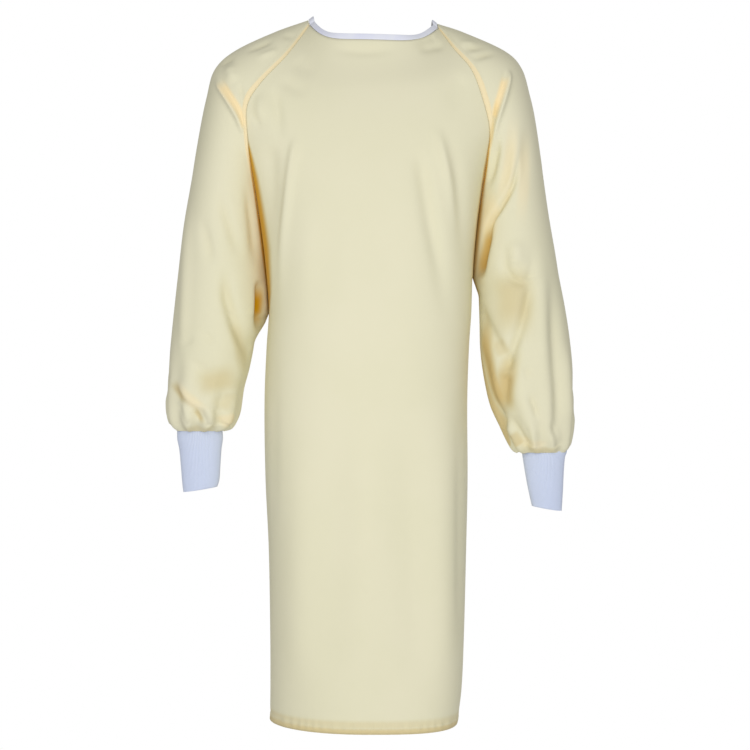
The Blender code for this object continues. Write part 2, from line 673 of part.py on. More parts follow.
def tie(name, lines, side, place, turns):
    """One tie of a pair. They meet at a knot beside the right panel's free edge."""
    knot = -read(BODY, "lap", place.height) - place.beyond
    numbers, places, ups = list(range(len(turns))), [], []
    for k in range((len(turns) - 1) * TIE_STEPS + 1):
        along, up, off, width = (smooth(numbers, column, k / TIE_STEPS) for column in zip(*turns))
        x, z = knot + side * along * place.spread, place.height + up * place.drop
        across = on_back(lines, x + TIE_WIDE / 2, z) - on_back(lines, x - TIE_WIDE / 2, z)
        upward = on_back(lines, x, z + TIE_WIDE / 2) - on_back(lines, x, z - TIE_WIDE / 2)
        angle = math.radians(width)
        off += place.lift * min(k / TIE_STEPS / TIE_ROOT_TURNS, 1)
        places.append(on_back(lines, x, z) + upward.cross(across).normalized() * off)
        ups.append((across * math.cos(angle) + upward * math.sin(angle)).normalized())
    return strap(name, places, ups, TIE_WIDE, TIE_THICK, YELLOW)


def cuff(name, side, end_row):
    """A knitted tube that hangs from the sleeve's end."""
    centre = sum(end_row[:-1], Vector()) / (len(end_row) - 1)
    rows = []
    for ring in CUFF:
        row = []
        for j in range(CUFF_COLUMNS + 1):
            angle = 2 * math.pi * j / CUFF_COLUMNS
            x = centre.x + side * ring.out + ring.half_wide * math.cos(angle)
            y = centre.y - ring.forward + ring.half_deep * math.sin(angle)
            fall = CUFF_TILT[side] * side * math.cos(angle) * ring.down / CUFF[-1].down
            row.append(Vector((x, y, centre.z - SEAM_GAP - ring.down - fall)))
        rows.append(row)
    return wall(name, Piece(rows, normals(rows, 0)), KNIT, WHITE, joined_from=0)


def gown():
    """Every piece of the gown."""
    closing = SEAM_ROWS - 1
    lines = {-1: body_lines(-1), 1: body_lines(1)}
    front_grid, back_lines = front_rows(lines[-1]), lines[1]
    front = Piece(front_grid, lay_folds("front", front_grid))
    backs, sleeves = {}, {}
    for side in (-1, 1):
        grid = back_rows(back_lines, side)
        backs[side] = Piece(grid, lay_folds("back", grid))
        grid = sleeve_rows(side)
        outward = lay_folds(f"sleeve_{SIDE_NAMES[side]}", grid, closing)
        gather(grid, sleeve_rings(side), outward, side)
        keep_clear(grid, side, lines)
        level_end(grid)
        sleeves[side] = Piece(grid, normals(grid, closing))

    on_seam, on_side = range(closing), range(closing + 1, len(front.rows))
    part_edges(front, -1, sleeves[1], 0, on_seam)
    part_edges(sleeves[1], -1, backs[1], 0, on_seam)
    part_edges(backs[-1], -1, sleeves[-1], 0, on_seam)
    part_edges(sleeves[-1], -1, front, 0, on_seam)
    part_edges(front, -1, backs[1], 0, on_side)
    part_edges(backs[-1], -1, front, 0, on_side)
    for side in (-1, 1):
        part_underarm(side, front, backs[side], sleeves[side])

    def hem_rise(i, j):
        return HEM_RISE if i >= len(front.rows) - 2 else 0

    def seam_rise(i, j):
        return SEAM_RISE if 0 < i < RAISED_ROWS and min(j, SLEEVE_COLUMNS - j) == 1 else 0

    wall("front", front, CLOTH, YELLOW, rise=hem_rise)
    for side, name in SIDE_NAMES.items():
        wall(f"back_{name}", backs[side], CLOTH, YELLOW, rise=hem_rise)
        wall(f"sleeve_{name}", sleeves[side], CLOTH, YELLOW, joined_from=closing, rise=seam_rise)
        cuff(f"cuff_{name}", side, sleeves[side].rows[-1])
        turns = TIE_UNDER if side < 0 else TIE_OVER
        for place in TIE_PLACES:
            tie(f"{place.name}_tie_{name}", back_lines, side, place, turns)
    neck_binding((backs[-1], sleeves[-1], front, sleeves[1], backs[1]))


for item in list(bpy.data.objects):
    bpy.data.objects.remove(item, do_unlink=True)
gown()
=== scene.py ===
# %% [markdown]
# # An isolation gown, filled out as worn
# The gown is a few flat pieces of light yellow cloth: a front, two back panels that lap, and two raglan
# sleeves that run up to the neck. Knitted cuffs close the wrists and a pale tape binds the neck. The packed
# solids fix where each piece is. Here every piece becomes a fine thin shell on the same form, with its
# folds, seams and weave.

# %% Load the fixed frame
import math
from collections import namedtuple

import bmesh
import bpy
import numpy as np
from mathutils import Matrix, Vector


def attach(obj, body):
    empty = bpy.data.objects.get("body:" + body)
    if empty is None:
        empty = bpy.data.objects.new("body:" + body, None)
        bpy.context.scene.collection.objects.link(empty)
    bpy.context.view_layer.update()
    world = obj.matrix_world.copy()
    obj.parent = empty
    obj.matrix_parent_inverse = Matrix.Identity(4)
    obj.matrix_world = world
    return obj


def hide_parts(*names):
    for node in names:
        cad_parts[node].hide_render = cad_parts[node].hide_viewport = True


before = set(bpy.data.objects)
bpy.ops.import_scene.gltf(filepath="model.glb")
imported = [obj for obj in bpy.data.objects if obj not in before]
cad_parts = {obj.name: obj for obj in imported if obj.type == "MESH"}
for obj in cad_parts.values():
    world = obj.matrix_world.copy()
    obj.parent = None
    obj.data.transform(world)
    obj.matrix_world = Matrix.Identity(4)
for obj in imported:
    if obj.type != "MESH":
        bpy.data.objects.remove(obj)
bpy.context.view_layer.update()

# %% [markdown]
# ## The camera
# The photo was taken level with the middle of the gown, from far enough away that the sleeves and the body
# look the same size. A long lens does that: its focal length follows from how much of the gown's plane the
# square picture shows.

# %% Place the camera
CAMERA_DISTANCE = 2.7
PICTURE_HEIGHT = 1.275
CAMERA_RIGHT = 0.0102
CAMERA_HEIGHT = -0.607


def add_object(name, data):
    made = bpy.data.objects.new(name, data)
    bpy.context.scene.collection.objects.link(made)
    return made


camera_data = bpy.data.cameras.new("camera")
camera_data.lens = camera_data.sensor_width * CAMERA_DISTANCE / PICTURE_HEIGHT
camera = add_object("camera", camera_data)
camera.location = (CAMERA_RIGHT, -CAMERA_DISTANCE, CAMERA_HEIGHT)
camera.rotation_euler = (math.radians(90), 0, 0)
bpy.context.scene.camera = camera
print("lens", round(camera_data.lens, 1), "mm")

# %% [markdown]
# ## Light and floor
# A studio lights such a gown with one large soft box beside the camera, so the chest is brightest and the
# shoulders, the edges and the hem fall off softly. The world gives the weaker light from all round, and shows
# white behind the gown. A second box behind it keeps the back readable. The pale floor lies where the
# wearer would stand, below the picture's edge.

# %% Light the studio
SOFT_BOX = 2.1
SOFT_BOX_WATTS = 17.8
SOFT_BOX_PLACE = (-0.04, -1.55, -0.47)
BACK_BOX_WATTS = 30
BACK_BOX_PLACE = (0.5, 2.6, 0.1)
ROOM_LIGHT = 0.42
FLOOR_HEIGHT = -1.47
FLOOR_RADIUS = 0.85
FLOOR_THICK = 0.02
FLOOR_RIM = 0.006

bpy.context.scene.view_settings.view_transform = "Standard"
for name, watts, place, turn in (("soft_box", SOFT_BOX_WATTS, SOFT_BOX_PLACE, 90),
                                 ("back_box", BACK_BOX_WATTS, BACK_BOX_PLACE, -90)):
    light_data = bpy.data.lights.new(name, "AREA")
    light_data.energy = watts
    light_data.size = SOFT_BOX
    light = add_object(name, light_data)
    light.location = place
    light.rotation_euler = (math.radians(turn), 0, 0)
    light.visible_camera = False

world = bpy.data.worlds.new("studio")
world.use_nodes = True
bpy.context.scene.world = world
tree = world.node_tree
rays = tree.nodes.new("ShaderNodeLightPath")
strength = tree.nodes.new("ShaderNodeMapRange")
strength.inputs["To Min"].default_value = ROOM_LIGHT
strength.inputs["To Max"].default_value = 1
tree.links.new(rays.outputs["Is Camera Ray"], strength.inputs["Value"])
tree.links.new(strength.outputs["Result"], tree.nodes["Background"].inputs["Strength"])
tree.nodes["Background"].inputs["Color"].default_value = (1, 1, 1, 1)
print("soft box", SOFT_BOX_WATTS, "W, room light", ROOM_LIGHT)

# %% [markdown]
# ## Maths for materials
# A pattern such as a weave is arithmetic on a surface's coordinates. Wrapping a node's output in a small
# class lets it be written as plain Python: adding two wrapped outputs adds a Math node.


# %% Wrap the shader's sockets
class Link:
    """A node's output in a material, or the material itself where there is none yet."""

    def __init__(self, tree, socket=None):
        self.tree, self.socket = tree, socket

    def node(self, kind, settings=None, values=None, output=0):
        """Any node: its settings, then the values or links of its sockets. Returns one of its outputs."""
        made = self.tree.nodes.new(kind)
        for name, value in (settings or {}).items():
            setattr(made, name, value)
        for name, value in (values or {}).items():
            if isinstance(value, Link):
                self.tree.links.new(value.socket, made.inputs[name])
            else:
                made.inputs[name].default_value = value
        return Link(self.tree, made.outputs[output])

    def maths(self, operation, *values):
        return self.node("ShaderNodeMath", {"operation": operation}, dict(enumerate(values)))

    def __add__(self, other):
        return self.maths("ADD", self, other)

    def __radd__(self, other):
        return self.maths("ADD", other, self)

    def __sub__(self, other):
        return self.maths("SUBTRACT", self, other)

    def __rsub__(self, other):
        return self.maths("SUBTRACT", other, self)

    def __mul__(self, other):
        return self.maths("MULTIPLY", self, other)

    def __rmul__(self, other):
        return self.maths("MULTIPLY", other, self)

    def wave(self, pitch):
        """A wave from -1 to 1 that repeats each pitch."""
        return self.maths("SINE", self * (2 * math.pi / pitch))

    def fade(self, low, high):
        """0 below low, 1 above high and a soft rise between."""
        values = {"Value": self, "From Min": low, "From Max": high}
        return self.node("ShaderNodeMapRange", {"interpolation_type": "SMOOTHSTEP"}, values)

    def blend(self, low, high):
        """One colour turned into another as this goes from 0 to 1."""
        low_socket, high_socket, result = 6, 7, 2
        values = {0: self, low_socket: low, high_socket: high}
        return self.node("ShaderNodeMix", {"data_type": "RGBA"}, values, result)

    def noise(self, scale, detail):
        """A noise of this place."""
        return self.node("ShaderNodeTexNoise", None, {"Vector": self, "Scale": scale, "Detail": detail})

    def into(self, socket):
        self.tree.links.new(self.socket, socket)

    def bump(self, strength, distance, shader):
        """These heights as a bump of a shader's surface."""
        values = {"Strength": strength, "Distance": distance, "Height": self}
        self.node("ShaderNodeBump", None, values).into(shader.inputs["Normal"])


def new_material(name, roughness, sheen, shine=0.5):
    """A material's Principled shader, with the values that are the same all over it."""
    material = bpy.data.materials.new(name)
    material.use_nodes = True
    shader = material.node_tree.nodes["Principled BSDF"]
    shader.inputs["Roughness"].default_value = roughness
    shader.inputs["Specular IOR Level"].default_value = shine
    shader.inputs["Sheen Weight"].default_value = sheen
    shader.inputs["Sheen Roughness"].default_value = 0.5
    return material, shader, Link(material.node_tree)


def cut_place(start):
    """How far across and how far along its flat cut a point of a piece is, in metres."""
    place = start.node("ShaderNodeUVMap", {"uv_map": "cut"})
    return [start.node("ShaderNodeSeparateXYZ", None, {0: place}, output) for output in ("X", "Y")]


def mark(start, name):
    """A number that a piece carries on its points."""
    number = 2
    return start.node("ShaderNodeAttribute", {"attribute_name": name}, None, number)


def on_object(start):
    return start.node("ShaderNodeTexCoord", output="Object")


# %% [markdown]
# ## The cloth
# The cloth is a fine plain weave: each yarn goes over one and under the next, so its height is one wave
# across times one wave along. Its two yarns are almost one colour. Where two or three layers lie on each
# other at a seam, or light comes back out of a crease, the pale yellow looks warmer and brighter: a painted
# warm glow. Deep in the fold beside the arm light reaches the cloth only by way of more cloth, which turns
# it to olive, then ochre: painted shade, also used in other troughs and on the hem. The pieces carry both
# as numbers on their points.

# %% Weave the cloth
YARN = 0.00055
CLOTH_PALE = (0.850, 0.810, 0.600, 1)
CLOTH_FULL = (0.815, 0.785, 0.560, 1)
# CLOTH_PALE and CLOTH_FULL are the cloth's own tones; the next three are painted light: a warm glow, and
# shade that goes from olive to ochre.
PAINTED_GLOW_COLOUR = (1.000, 0.820, 0.490, 1)
SHADE_OLIVE = (0.560, 0.430, 0.070, 1)
SHADE_OCHRE = (0.640, 0.330, 0.002, 1)
SLUBS_ACROSS = 900
SLUBS_ALONG = 60
CLOUDS = 7


def cloth_material(name):
    material, shader, start = new_material(name, roughness=0.8, sheen=0.04, shine=0.2)
    across, along = cut_place(start)
    weave = across.wave(2 * YARN) * along.wave(2 * YARN)
    slub_at = start.node("ShaderNodeCombineXYZ", None, {0: across * SLUBS_ACROSS, 1: along * SLUBS_ALONG})
    slub = slub_at.noise(1, 2)
    cloud = on_object(start).noise(CLOUDS, 3)
    colour = (slub * 0.35 + cloud.fade(0.3, 0.7) * 0.5).blend(CLOTH_PALE, CLOTH_FULL)
    # Painted light on the cloth's own tones: first a brighter warm glow, then painted shade that turns it
    # olive, then ochre.
    colour = mark(start, "painted_glow").blend(colour, PAINTED_GLOW_COLOUR)
    deep = mark(start, "deep")
    deep.blend(colour, deep.blend(SHADE_OLIVE, SHADE_OCHRE)).into(shader.inputs["Base Color"])
    (weave * 0.5 + slub * 0.4).bump(0.25, 0.0001, shader)
    return material


# %% [markdown]
# ## Curves and sections
# The shells repeat the solids' own cut: a table of the raglan seam's places, one of the body's sections and
# one of the sleeve's rings. Reading a table at any height gives a smooth curve through its rows, so the same
# few rows give the solids' wide steps and these shells' fine ones.


# %% Read smooth curves
def smooth(xs, ys, x):
    """A smooth curve through the values ys at the places xs, read at x."""
    xs, ys = np.asarray(xs, float), np.asarray(ys, float)
    x = np.clip(x, xs[0], xs[-1])
    k = np.clip(np.searchsorted(xs, x, side="right") - 1, 0, len(xs) - 2)
    low, high = np.maximum(np.arange(len(xs)) - 1, 0), np.minimum(np.arange(len(xs)) + 1, len(xs) - 1)
    slope = (ys[high] - ys[low]) / (xs[high] - xs[low])
    step = xs[k + 1] - xs[k]
    t = (x - xs[k]) / step
    first = (2 * t**3 - 3 * t**2 + 1) * ys[k] + (t**3 - 2 * t**2 + t) * step * slope[k]
    return first + (3 * t**2 - 2 * t**3) * ys[k + 1] + (t**3 - t**2) * step * slope[k + 1]


def read(table, column, height):
    """A column of a table that runs down from its first height, at any height."""
    return smooth([-row.height for row in table], [getattr(row, column) for row in table], -height)


def ease(t):
    t = np.clip(t, 0, 1)
    return t * t * (3 - 2 * t)


def lengths_along(rows):
    """How far each point of a line, or of each row of a grid, is from the first point, along it."""
    steps = np.linalg.norm(np.diff(rows, axis=-2), axis=-1)
    return np.concatenate((np.zeros(rows.shape[:-2] + (1,)), np.cumsum(steps, axis=-1)), axis=-1)


def evenly(line, shares):
    """The places at these shares of the way along a line of points."""
    along = lengths_along(line)
    return np.stack([np.interp(np.asarray(shares) * along[-1], along, line[:, k]) for k in range(3)], axis=1)


# %% The raglan seams
# Each row gives how far out, forward and down a point of the front seam is, from the neck to the underarm.
Seam = namedtuple("Seam", "out forward down")
RAGLAN = {
    -1: (
        Seam(0.100, 0.030, 0.019),
        Seam(0.134, 0.082, 0.078),
        Seam(0.176, 0.104, 0.128),
        Seam(0.1990, 0.105, 0.167),
        Seam(0.1990, 0.094, 0.218),
        Seam(0.1950, 0.072, 0.260),
        Seam(0.1870, 0.047, 0.318),
        Seam(0.1780, 0.031, 0.387),
        Seam(0.1715, 0.019, 0.456),
        Seam(0.1690, 0.000, 0.500),
    ),
    1: (
        Seam(0.117, 0.030, 0.024),
        Seam(0.141, 0.076, 0.068),
        Seam(0.168, 0.100, 0.106),
        Seam(0.1850, 0.104, 0.150),
        Seam(0.1985, 0.094, 0.202),
        Seam(0.1960, 0.072, 0.245),
        Seam(0.1890, 0.047, 0.298),
        Seam(0.1820, 0.031, 0.355),
        Seam(0.1775, 0.019, 0.405),
        Seam(0.1755, 0.000, 0.441),
    ),
}
BACK_SEAM_OUT = 0.004
BACK_SEAM_RISE = 0.007


def raglan(side, t):
    """A point of the front seam on one side, from 0 at the neck to 1 at the underarm."""
    places = np.linspace(0, 1, len(RAGLAN[side]))
    out, forward, down = (smooth(places, column, t) for column in zip(*RAGLAN[side]))
    return np.array((side * out, -forward, -down))


def back_raglan(side, t):
    """The back seam stands a little higher and further out, and meets the front one at the underarm."""
    x, y, z = raglan(side, t)
    return np.array((x, -y + BACK_SEAM_OUT * (1 - t), z + BACK_SEAM_RISE * (1 - t)))


print("underarms at", raglan(-1, 1), raglan(1, 1))

# %% The body's sections
HEM_HEIGHT = -1.188
SIDE_SEAM_BACK = 0.012
SIDE_SHIFT = 0.3
NECK_SAG = {-1: 0.0350, 1: 0.015}
NECK_SAG_FADE = 1.6
NECK_CURVE = 4.6
LAP_DROP = 0.0045
LAP_RAMP = 0.055
LAP_LEVEL = 0.008
DENSE = 400

Body = namedtuple("Body", "height front back square_left square_right lap")
BODY = (
    Body(0.000, 0.092, 0.066, 2.4, 2.4, 0.034),
    Body(-0.060, 0.098, 0.089, 2.4, 2.4, 0.036),
    Body(-0.120, 0.116, 0.116, 2.5, 2.5, 0.042),
    Body(-0.200, 0.130, 0.123, 2.7, 2.8, 0.050),
    Body(-0.320, 0.138, 0.122, 2.8, 2.9, 0.060),
    Body(-0.500, 0.140, 0.114, 2.7, 2.8, 0.072),
    Body(-0.700, 0.139, 0.120, 2.6, 2.9, 0.080),
    Body(-0.950, 0.137, 0.127, 2.4, 3.0, 0.088),
    Body(HEM_HEIGHT, 0.135, 0.131, 2.1, 3.1, 0.094),
)
Side = namedtuple("Side", "height left right")
SIDES = (
    Side(-0.440, 0.171, 0.1745),
    Side(-0.500, 0.169, 0.1730),
    Side(-0.560, 0.173, 0.1690),
    Side(-0.650, 0.1765, 0.1660),
    Side(-0.780, 0.175, 0.1665),
    Side(-0.900, 0.1695, 0.1640),
    Side(-1.050, 0.1670, 0.1600),
    Side(-1.135, 0.1668, 0.1560),
    Side(HEM_HEIGHT, 0.1675, 0.1490),
)


def body_ends(facing, t):
    """The two ends of a row: on the raglan seams down to 1, then on the side seams down to 2 at the hem."""
    if t <= 1:
        seam = raglan if facing < 0 else back_raglan
        return [seam(-1, t), seam(1, t)]
    ends = []
    for side, column in ((-1, "left"), (1, "right")):
        start = raglan(side, 1)[2]
        height = start + (HEM_HEIGHT - start) * (t - 1)
        back = SIDE_SEAM_BACK * ease((t - 1) / SIDE_SHIFT)
        ends.append(np.array((side * read(SIDES, column, height), back, height)))
    return ends


def body_line(facing, t):
    """A dense line round the front (-1) or the back (1) of the body, from its left end to its right one."""
    ends = body_ends(facing, t)
    height = (ends[0][2] + ends[1][2]) / 2
    depth = read(BODY, "front" if facing < 0 else "back", height)
    squares = np.array([read(BODY, "square_left", height), read(BODY, "square_right", height)])
    turns, spans = [], []
    for end, square in zip(ends, squares):
        inside = min(abs(end[1]) / depth, 0.999) ** (square / 2)
        turns.append(math.acos(math.copysign(inside, end[1] * facing)))
        spans.append(abs(end[0]) / math.sin(turns[-1]) ** (2 / square))
    angle = np.linspace(-turns[0], turns[1], DENSE + 1)
    half = (angle >= 0).astype(int)
    power = 2 / squares[half]
    x = np.array(spans)[half] * np.sign(np.sin(angle)) * np.abs(np.sin(angle)) ** power
    y = facing * depth * np.sign(np.cos(angle)) * np.abs(np.cos(angle)) ** power
    z = ends[0][2] + (ends[1][2] - ends[0][2]) * (x - ends[0][0]) / (ends[1][0] - ends[0][0])
    across = np.abs(x) / np.where(x < 0, -ends[0][0], ends[1][0])
    z -= NECK_SAG[facing] * max(1 - t, 0) ** NECK_SAG_FADE * (1 - np.minimum(across, 1) ** NECK_CURVE)
    return np.stack((x, y, z), axis=1)


# %% The sleeves' rings
# Each ring is an oval across the arm: the place of its outer line, how it leans, its half sizes outward,
# forward and back, how far round it reaches to the seams, and the height of its gathers.
Ring = namedtuple("Ring", "out forward height lean half_out half_front half_back reach gather")
SLEEVES = {
    -1: (
        Ring(0.103, 0.000, -0.005, 80, 0.020, 0.030, 0.036, 90, 0),
        Ring(0.160, 0.000, -0.028, 60, 0.040, 0.078, 0.080, 92, 0),
        Ring(0.227, 0.002, -0.061, 47, 0.054, 0.098, 0.100, 97, 0),
        Ring(0.261, 0.004, -0.093, 41, 0.060, 0.102, 0.104, 103, 0),
        Ring(0.2745, 0.006, -0.140, 34, 0.060, 0.100, 0.102, 110, 0),
        Ring(0.285, 0.007, -0.190, 24, 0.058, 0.095, 0.096, 128, 0),
        Ring(0.299, 0.008, -0.272, 15, 0.057, 0.088, 0.086, 148, 0),
        Ring(0.3125, 0.010, -0.355, 11, 0.061, 0.083, 0.078, 160, 0),
        Ring(0.322, 0.012, -0.435, 9, 0.066, 0.080, 0.074, 170, 0),
        Ring(0.328, 0.014, -0.490, 9, 0.0695, 0.078, 0.072, 180, 0),
        Ring(0.332, 0.016, -0.530, 9, 0.0700, 0.076, 0.070, 180, 0),
        Ring(0.336, 0.019, -0.572, 9, 0.0680, 0.073, 0.068, 180, 0.0006),
        Ring(0.3385, 0.022, -0.612, 8, 0.0640, 0.069, 0.064, 180, 0.0016),
        Ring(0.3390, 0.025, -0.652, 7, 0.0610, 0.064, 0.060, 180, 0.0028),
        Ring(0.3370, 0.027, -0.676, 5, 0.0560, 0.056, 0.052, 180, 0.0036),
        Ring(0.3325, 0.028, -0.691, 3, 0.0500, 0.042, 0.040, 180, 0.0030),
        Ring(0.3240, 0.028, -0.700, 1, 0.0395, 0.028, 0.028, 180, 0.0012),
    ),
    1: (
        Ring(0.116, 0.000, -0.011, 80, 0.020, 0.030, 0.036, 90, 0),
        Ring(0.160, 0.000, -0.028, 60, 0.040, 0.076, 0.078, 92, 0),
        Ring(0.230, 0.002, -0.061, 47, 0.056, 0.098, 0.100, 97, 0),
        Ring(0.2585, 0.004, -0.091, 41, 0.061, 0.102, 0.104, 103, 0),
        Ring(0.272, 0.006, -0.136, 34, 0.060, 0.100, 0.102, 110, 0),
        Ring(0.281, 0.007, -0.177, 24, 0.057, 0.095, 0.096, 128, 0),
        Ring(0.2925, 0.008, -0.255, 15, 0.056, 0.088, 0.086, 148, 0),
        Ring(0.303, 0.010, -0.333, 11, 0.060, 0.083, 0.078, 160, 0),
        Ring(0.3145, 0.012, -0.401, 9, 0.067, 0.081, 0.074, 170, 0),
        Ring(0.3205, 0.014, -0.440, 9, 0.0685, 0.080, 0.072, 180, 0),
        Ring(0.3300, 0.016, -0.490, 9, 0.0725, 0.079, 0.072, 180, 0),
        Ring(0.3375, 0.019, -0.540, 9, 0.0757, 0.077, 0.070, 180, 0),
        Ring(0.3430, 0.022, -0.590, 8, 0.0749, 0.073, 0.067, 180, 0.0008),
        Ring(0.3440, 0.025, -0.640, 7, 0.0694, 0.068, 0.062, 180, 0.0020),
        Ring(0.3420, 0.027, -0.682, 5, 0.0597, 0.060, 0.055, 180, 0.0028),
        Ring(0.3395, 0.028, -0.708, 4, 0.0528, 0.050, 0.046, 180, 0.0032),
        Ring(0.3365, 0.029, -0.726, 3, 0.0470, 0.038, 0.037, 180, 0.0028),
        Ring(0.3320, 0.029, -0.735, 2, 0.0410, 0.028, 0.028, 180, 0.0012),
    ),
}
SEAM_RINGS = 9
UNDERARM_PULL = 0.9
UNDERARM_DROP = {-1: 0.055, 1: 0.036}
PULL_SHARE = 0.38


def sleeve_oval(side, ring, seams=None):
    """A dense line across the sleeve, from its front seam over the outside to its back seam."""
    lean, reach = math.radians(ring.lean), math.radians(ring.reach)
    out = np.array((side * math.cos(lean), 0, math.sin(lean)))
    centre = np.array((side * ring.out, -ring.forward, ring.height)) - out * ring.half_out
    share = np.linspace(0, 1, DENSE + 1)
    angle = (2 * share - 1) * reach
    half = np.where(angle < 0, ring.half_front, ring.half_back)
    line = centre + np.outer(np.cos(angle), out * ring.half_out)
    line[:, 1] += half * np.sin(angle)
    if seams is not None:
        near_front = np.maximum(1 - share / PULL_SHARE, 0) ** 2
        near_back = np.maximum(1 - (1 - share) / PULL_SHARE, 0) ** 2
        line += np.outer(near_front, seams[0] - line[0]) + np.outer(near_back, seams[1] - line[-1])
    return line


def sleeve_line(side, t):
    """A row of the sleeve: open between the seams down to 1, then closed rings down to 2 at the cuff."""
    table = SLEEVES[side]
    place = SEAM_RINGS * t if t <= 1 else SEAM_RINGS + (t - 1) * (len(table) - 1 - SEAM_RINGS)
    ring = Ring(*(float(smooth(range(len(table)), column, place)) for column in zip(*table)))
    if t <= 1:
        return sleeve_oval(side, ring, (raglan(side, t), back_raglan(side, t))), ring
    loose = sleeve_oval(side, ring)[0]
    underarm = raglan(side, 1)
    drawn = UNDERARM_PULL * ease(1 - (underarm[2] - loose[2]) / UNDERARM_DROP[side])
    closed = loose + (np.array((underarm[0], underarm[1], loose[2])) - loose) * drawn
    return sleeve_oval(side, ring, (closed, closed)), ring


print("a sleeve's widest oval is", max(2 * ring.half_out for ring in SLEEVES[1]), "m across")

# %% [markdown]
# ## Laying a grid of cloth
# A tailor's piece is a flat grid of yarns bent to a form, so a grid from create_grid is laid point by point
# on the form's rows and columns. Its UV map keeps the flat size in metres, which gives the weave its true
# scale everywhere. Where a row closes round the arm its two edges are merged.


# %% Lay a grid on the form
SHELL = 0.0008


def outward(grid, closed_from=None):
    """The outward direction at each point of a grid, from its neighbours."""
    along = np.gradient(grid, axis=1)
    if closed_from is not None:
        along[closed_from:, 0] = along[closed_from:, -1] = grid[closed_from:, 1] - grid[closed_from:, -2]
    found = np.cross(along, -np.gradient(grid, axis=0))
    return found / np.maximum(np.linalg.norm(found, axis=2, keepdims=True), 1e-12)


def flat_size(grid):
    """The cut's width, height and area, from its longest row, its longest column and its quads."""
    rows = np.linalg.norm(np.diff(grid, axis=1), axis=2).sum(axis=1)
    columns = np.linalg.norm(np.diff(grid, axis=0), axis=2).sum(axis=0)
    sides = np.cross(grid[1:, 1:] - grid[:-1, :-1], grid[1:, :-1] - grid[:-1, 1:])
    return rows.max(), columns.max(), np.linalg.norm(sides, axis=2).sum() / 2


def lay_cloth(name, grid, material, marks=None, closed_from=None, thick=SHELL):
    """A thin shell of cloth on a grid of outer points, with its marks as attributes of its points."""
    rows, columns = grid.shape[:2]
    wide, tall, area = flat_size(grid)
    mesh = bmesh.new()
    cut = mesh.loops.layers.uv.new("cut")
    bmesh.ops.create_grid(mesh, x_segments=columns - 1, y_segments=rows - 1, size=0.5, calc_uvs=True)
    layers = {key: mesh.verts.layers.float.new(key) for key in marks or {}}
    for face in mesh.faces:
        for loop in face.loops:
            loop[cut].uv = ((loop.vert.co.x + 0.5) * wide, (0.5 - loop.vert.co.y) * tall)
    for vert in mesh.verts:
        i, j = round((0.5 - vert.co.y) * (rows - 1)), round((vert.co.x + 0.5) * (columns - 1))
        vert.co = grid[i, j]
        for key, layer in layers.items():
            vert[layer] = marks[key][i, j]
    if closed_from is not None:
        bmesh.ops.remove_doubles(mesh, verts=mesh.verts, dist=1e-6)
    data = bpy.data.meshes.new(name)
    mesh.to_mesh(data)
    mesh.free()
    data.shade_smooth()
    data.materials.append(material)
    piece = add_object(name, data)
    solid = piece.modifiers.new("thickness", "SOLIDIFY")
    solid.thickness, solid.offset = thick, -1
    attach(piece, "root")
    sizes = [round(size, 3) for size in (wide, tall, area)]
    print(name, len(data.polygons), "faces, flat", sizes[0], "x", sizes[1], "m, area", sizes[2])
    return piece, (wide, tall), area


# %% [markdown]
# ## Folds
# A fold of cloth is a line with a soft hill or valley across it. Each one is a short row: the places that it
# runs through, as seen from the front, the back or the side, how wide and how high it is, all in
# millimetres, and how far it leans, which makes one flank steep with a trough beside it. It starts and ends
# softly unless a seam holds it. A tint is a line of painted light with an amount from 0 to 1 in place of a
# height: a warm glow in some tables, painted shade in others.


# %% Press folds into a grid
MM = 0.001
Fold = namedtuple("Fold", "places wide height lean fade_in fade_out")
Tint = namedtuple("Tint", "places wide amount fade_in fade_out")
VIEWS = {"front": (0, 2, 1, -1), "back": (0, 2, 1, 1), "left": (1, 2, 0, -1), "right": (1, 2, 0, 1)}
FACING_FROM = 0.02
FACING_TO = 0.35
STROKE_STEPS = 6


def stroke(points, places):
    """How far points lie from a smooth line through places, positive to the left of its way, and how far
    along it they are from 0 to 1."""
    steps = np.linspace(0, len(places) - 1, STROKE_STEPS * (len(places) - 1) + 1)
    line = np.stack([smooth(range(len(places)), column, steps) for column in zip(*places)], axis=1) * MM
    starts, runs = line[:-1], np.diff(line, axis=0)
    offset = points[:, None] - starts[None]
    share = np.clip((offset * runs).sum(axis=2) / (runs**2).sum(axis=1), 0, 1)
    away = np.linalg.norm(offset - share[..., None] * runs, axis=2)
    nearest = away.argmin(axis=1)
    pick = np.arange(len(points))
    run, gap = runs[nearest], offset[pick, nearest]
    side = np.sign(run[:, 0] * gap[:, 1] - run[:, 1] * gap[:, 0])
    return away[pick, nearest] * side, (nearest + share[pick, nearest]) / len(runs)


def fading(share, fold):
    """How much of its height a fold has along its way."""
    rise = ease(share / fold.fade_in) if fold.fade_in else 1
    return rise * (ease((1 - share) / fold.fade_out) if fold.fade_out else 1)


def seen_from(grid, normals, view):
    """Where a grid's points are seen from a view, and how much each of them faces it, from 0 to 1."""
    across, up, axis, sign = VIEWS[view]
    seen = np.stack((grid[..., across], grid[..., up]), axis=-1).reshape(-1, 2)
    return seen, ease((normals[..., axis] * sign - FACING_FROM) / (FACING_TO - FACING_FROM))


def fold_heights(grid, normals, folds):
    """How far the folds move each point of a grid outward. folds holds a table for each view."""
    total = np.zeros(grid.shape[:2])
    for view, table in folds.items():
        seen, facing = seen_from(grid, normals, view)
        for fold in table:
            away, share = stroke(seen, fold.places)
            reach = away / (fold.wide * MM)
            height = fold.height * MM * (1 + fold.lean * reach) * np.exp(-(reach**2)) * fading(share, fold)
            total += height.reshape(total.shape) * facing
    return total


